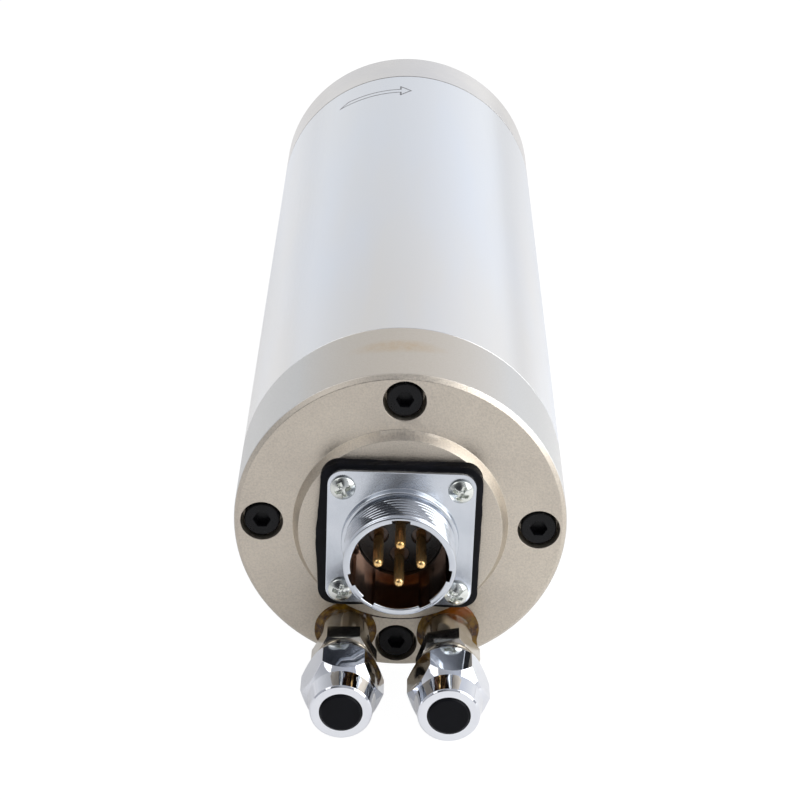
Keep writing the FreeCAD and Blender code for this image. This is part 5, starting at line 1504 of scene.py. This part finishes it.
@dataclass
class Studio:
    """The pale floor, the soft boxes and the white surroundings.

    Attributes:
        floor_z: Height of the floor, in metres.
        floor_side: Width of the floor.
        paper: Colour of the paper.
        paper_glow: Strength of its own light.
        camera_glow: Share of its own light that the camera sees in the floor.
        mirror_glow: Share of it that reflections see at the left and at the right.
        mirror_side: Where that share starts and stops changing across, in metres.
        mirror_back: Where it becomes the right side's share all over, along the object.
        wall: Colour of the tent's wall behind the object.
        wall_side: Places across, on a sphere of radius 1, between which left becomes right.
        wall_left: Brightness of the left side against the right side's.
        roof: Colour of the tent overhead, at the left and at the right.
        roof_up: Heights on that sphere between which the roof comes in.
        roof_share: How much of it is mixed in.
        front: Colour of the tent in front of the object.
        front_way: Places on that sphere, along the object, between which it comes in.
        gap: Colour of the dark gap that the camera looks in through.
        gap_way: Direction to the middle of the gap.
        gap_edge: Cosines between which the tent goes from its own grey to the dark gap.
        soft: Colour that matt surfaces are lit with.
        boxes: Direction, distance, width and watts of each soft box.
    """

    floor_z: float = -0.0326
    floor_side: float = 12.0
    paper: str = "#f6f6f6"
    paper_glow: float = 1.08
    camera_glow: float = 0.9
    mirror_glow: tuple[float, float] = (0.06, 0.4)
    mirror_side: tuple[float, float] = (-0.08, 0.08)
    mirror_back: tuple[float, float] = (-0.1, 0.0)
    wall: str = "#fafbfe"
    wall_side: tuple[float, float] = (-0.4, 0.3)
    wall_left: float = 0.84
    roof: tuple[str, str] = ("#85878c", "#aab3c8")
    roof_up: tuple[float, float] = (0.1, 0.9)
    roof_share: float = 0.75
    front: str = "#b4b6bc"
    front_way: tuple[float, float] = (0.35, -0.3)
    gap: str = "#26282d"
    gap_way: tuple[float, float, float] = (-0.32, -0.85, 0.42)
    gap_edge: tuple[float, float] = (0.8, 0.94)
    soft: str = "#c9c9cd"
    boxes: tuple[tuple[tuple[float, float, float], float, float, float], ...] = (
        ((0.76, -0.42, 0.50), 0.44, 0.38, 1.4),
        ((-0.58, -0.42, 0.70), 0.65, 0.36, 0.5),
    )

    def floor(self) -> None:
        """Lays the floor: white paper, lit from itself where it is looked at.

        The camera sees more of that light than a reflection does, so that the paper stays
        white in the picture while the object's own shade still shows in what it mirrors.
        """
        half = self.floor_side / 2
        corners = [(x * half, y * half, self.floor_z)
                   for x, y in ((-1, -1), (1, -1), (1, 1), (-1, 1))]
        mesh = bpy.data.meshes.new("studio_floor")
        mesh.from_pydata(corners, [], [(0, 1, 2, 3)])
        floor = bpy.data.objects.new("studio_floor", mesh)
        bpy.context.scene.collection.objects.link(floor)
        material = bpy.data.materials.new("matt white paper")
        material.use_nodes = True
        tree = material.node_tree
        tree.nodes.clear()
        path = add_node(tree, "ShaderNodeLightPath")
        camera = add_node(tree, "ShaderNodeMath", {
            0: path.outputs["Is Camera Ray"], 1: self.camera_glow}, operation="MULTIPLY")
        where = add_node(tree, "ShaderNodeTexCoord").outputs["Object"]
        across, back, _ = add_node(tree, "ShaderNodeSeparateXYZ", {0: where}).outputs
        shares = [add_node(tree, "ShaderNodeMapRange", {
            "Value": value, "From Min": start, "From Max": end,
            "To Min": self.mirror_glow[0], "To Max": self.mirror_glow[1]})
            for value, (start, end) in ((across, self.mirror_side), (back, self.mirror_back))]
        share = add_node(tree, "ShaderNodeMath", {
            0: shares[0].outputs[0], 1: shares[1].outputs[0]}, operation="MAXIMUM")
        mirror = add_node(tree, "ShaderNodeMath", {
            0: path.outputs["Is Glossy Ray"], 1: share.outputs[0], 2: camera.outputs[0]},
            operation="MULTIPLY_ADD")
        paper = add_node(tree, "ShaderNodeBsdfDiffuse", {"Color": linear(self.paper)})
        glow = add_node(tree, "ShaderNodeEmission", {
            "Color": linear("#ffffff"), "Strength": self.paper_glow})
        mixed = add_node(tree, "ShaderNodeMixShader", {
            0: mirror.outputs[0], 1: paper.outputs[0], 2: glow.outputs[0]})
        add_node(tree, "ShaderNodeOutputMaterial", {"Surface": mixed.outputs[0]})
        mesh.materials.append(material)

    def lamps(self) -> None:
        """Hangs the soft boxes, each aimed at the object's middle."""
        for number, (way, far, wide, watts) in enumerate(self.boxes):
            light = bpy.data.lights.new(f"soft box {number}", "AREA")
            light.shape = "SQUARE"
            light.size = wide
            light.energy = watts
            box = bpy.data.objects.new(light.name, light)
            way = Vector(way).normalized()
            turn = way.to_track_quat("Z", "Y").to_matrix().to_4x4()
            box.matrix_world = Matrix.Translation(way * far) @ turn
            bpy.context.scene.collection.objects.link(box)

    def surroundings(self) -> None:
        """Sets the world: a white tent, with a dark gap where the camera looks in.

        In reflections its brightness goes by the direction: bright behind the object, most so
        at the right, dimmer overhead and in front, and dark in the gap, some 20 degrees round
        a place left of the camera. The camera itself sees plain white.
        """
        world = bpy.data.worlds.new("white tent")
        bpy.context.scene.world = world
        world.use_nodes = True
        tree = world.node_tree
        tree.nodes.clear()
        way = add_node(tree, "ShaderNodeTexCoord").outputs["Generated"]
        x, y, z = add_node(tree, "ShaderNodeSeparateXYZ", {0: way}).outputs
        side = add_node(tree, "ShaderNodeMapRange", {
            "Value": x, "From Min": self.wall_side[0], "From Max": self.wall_side[1]})
        level = add_node(tree, "ShaderNodeMapRange", {
            "Value": side.outputs[0], "To Min": self.wall_left})
        height = add_node(tree, "ShaderNodeMapRange", {
            "Value": z, "From Min": self.roof_up[0], "From Max": self.roof_up[1],
            "To Max": self.roof_share})
        roof = add_node(tree, "ShaderNodeMix", {
            0: side.outputs[0], 6: linear(self.roof[0]), 7: linear(self.roof[1])},
            data_type="RGBA")
        front = add_node(tree, "ShaderNodeMapRange", {
            "Value": y, "From Min": self.front_way[0], "From Max": self.front_way[1]},
            interpolation_type="SMOOTHSTEP")
        towards = add_node(tree, "ShaderNodeVectorMath", {
            0: way, 1: self.gap_way}, operation="DOT_PRODUCT")
        gap = add_node(tree, "ShaderNodeMapRange", {
            "Value": towards.outputs["Value"], "From Min": self.gap_edge[0],
            "From Max": self.gap_edge[1]}, interpolation_type="SMOOTHSTEP")
        wall = add_node(tree, "ShaderNodeMix", {
            0: height.outputs[0], 6: linear(self.wall), 7: roof.outputs[2]}, data_type="RGBA")
        lit = add_node(tree, "ShaderNodeMix", {
            0: 1.0, 6: wall.outputs[2], 7: level.outputs[0]},
            data_type="RGBA", blend_type="MULTIPLY")
        room = add_node(tree, "ShaderNodeMix", {
            0: front.outputs[0], 6: lit.outputs[2], 7: linear(self.front)}, data_type="RGBA")
        tent = add_node(tree, "ShaderNodeMix", {
            0: gap.outputs[0], 6: room.outputs[2], 7: linear(self.gap)}, data_type="RGBA")
        path = add_node(tree, "ShaderNodeLightPath")
        soft = add_node(tree, "ShaderNodeMix", {
            0: path.outputs["Is Glossy Ray"], 6: linear(self.soft), 7: tent.outputs[2]},
            data_type="RGBA")
        white = add_node(tree, "ShaderNodeMix", {
            0: path.outputs["Is Camera Ray"], 6: soft.outputs[2], 7: linear("#ffffff")},
            data_type="RGBA")
        glow = add_node(tree, "ShaderNodeBackground", {"Color": white.outputs[2], "Strength": 1.0})
        add_node(tree, "ShaderNodeOutputWorld", {"Surface": glow.outputs[0]})

    def build(self) -> None:
        """Makes the floor, the soft boxes and the surroundings."""
        self.floor()
        self.lamps()
        self.surroundings()
        bpy.context.scene.view_settings.view_transform = "Standard"


def main() -> None:
    """Builds every sub-assembly in order."""
    logging.basicConfig(level=logging.INFO, format="%(message)s")
    for assembly in (Packed(), Body(), Connector(), WaterFittings(), Nose(), PhotoCamera(),
                     Studio()):
        LOG.info("making %s", type(assembly).__name__)
        assembly.build()


if __name__ == "__main__":
    main()
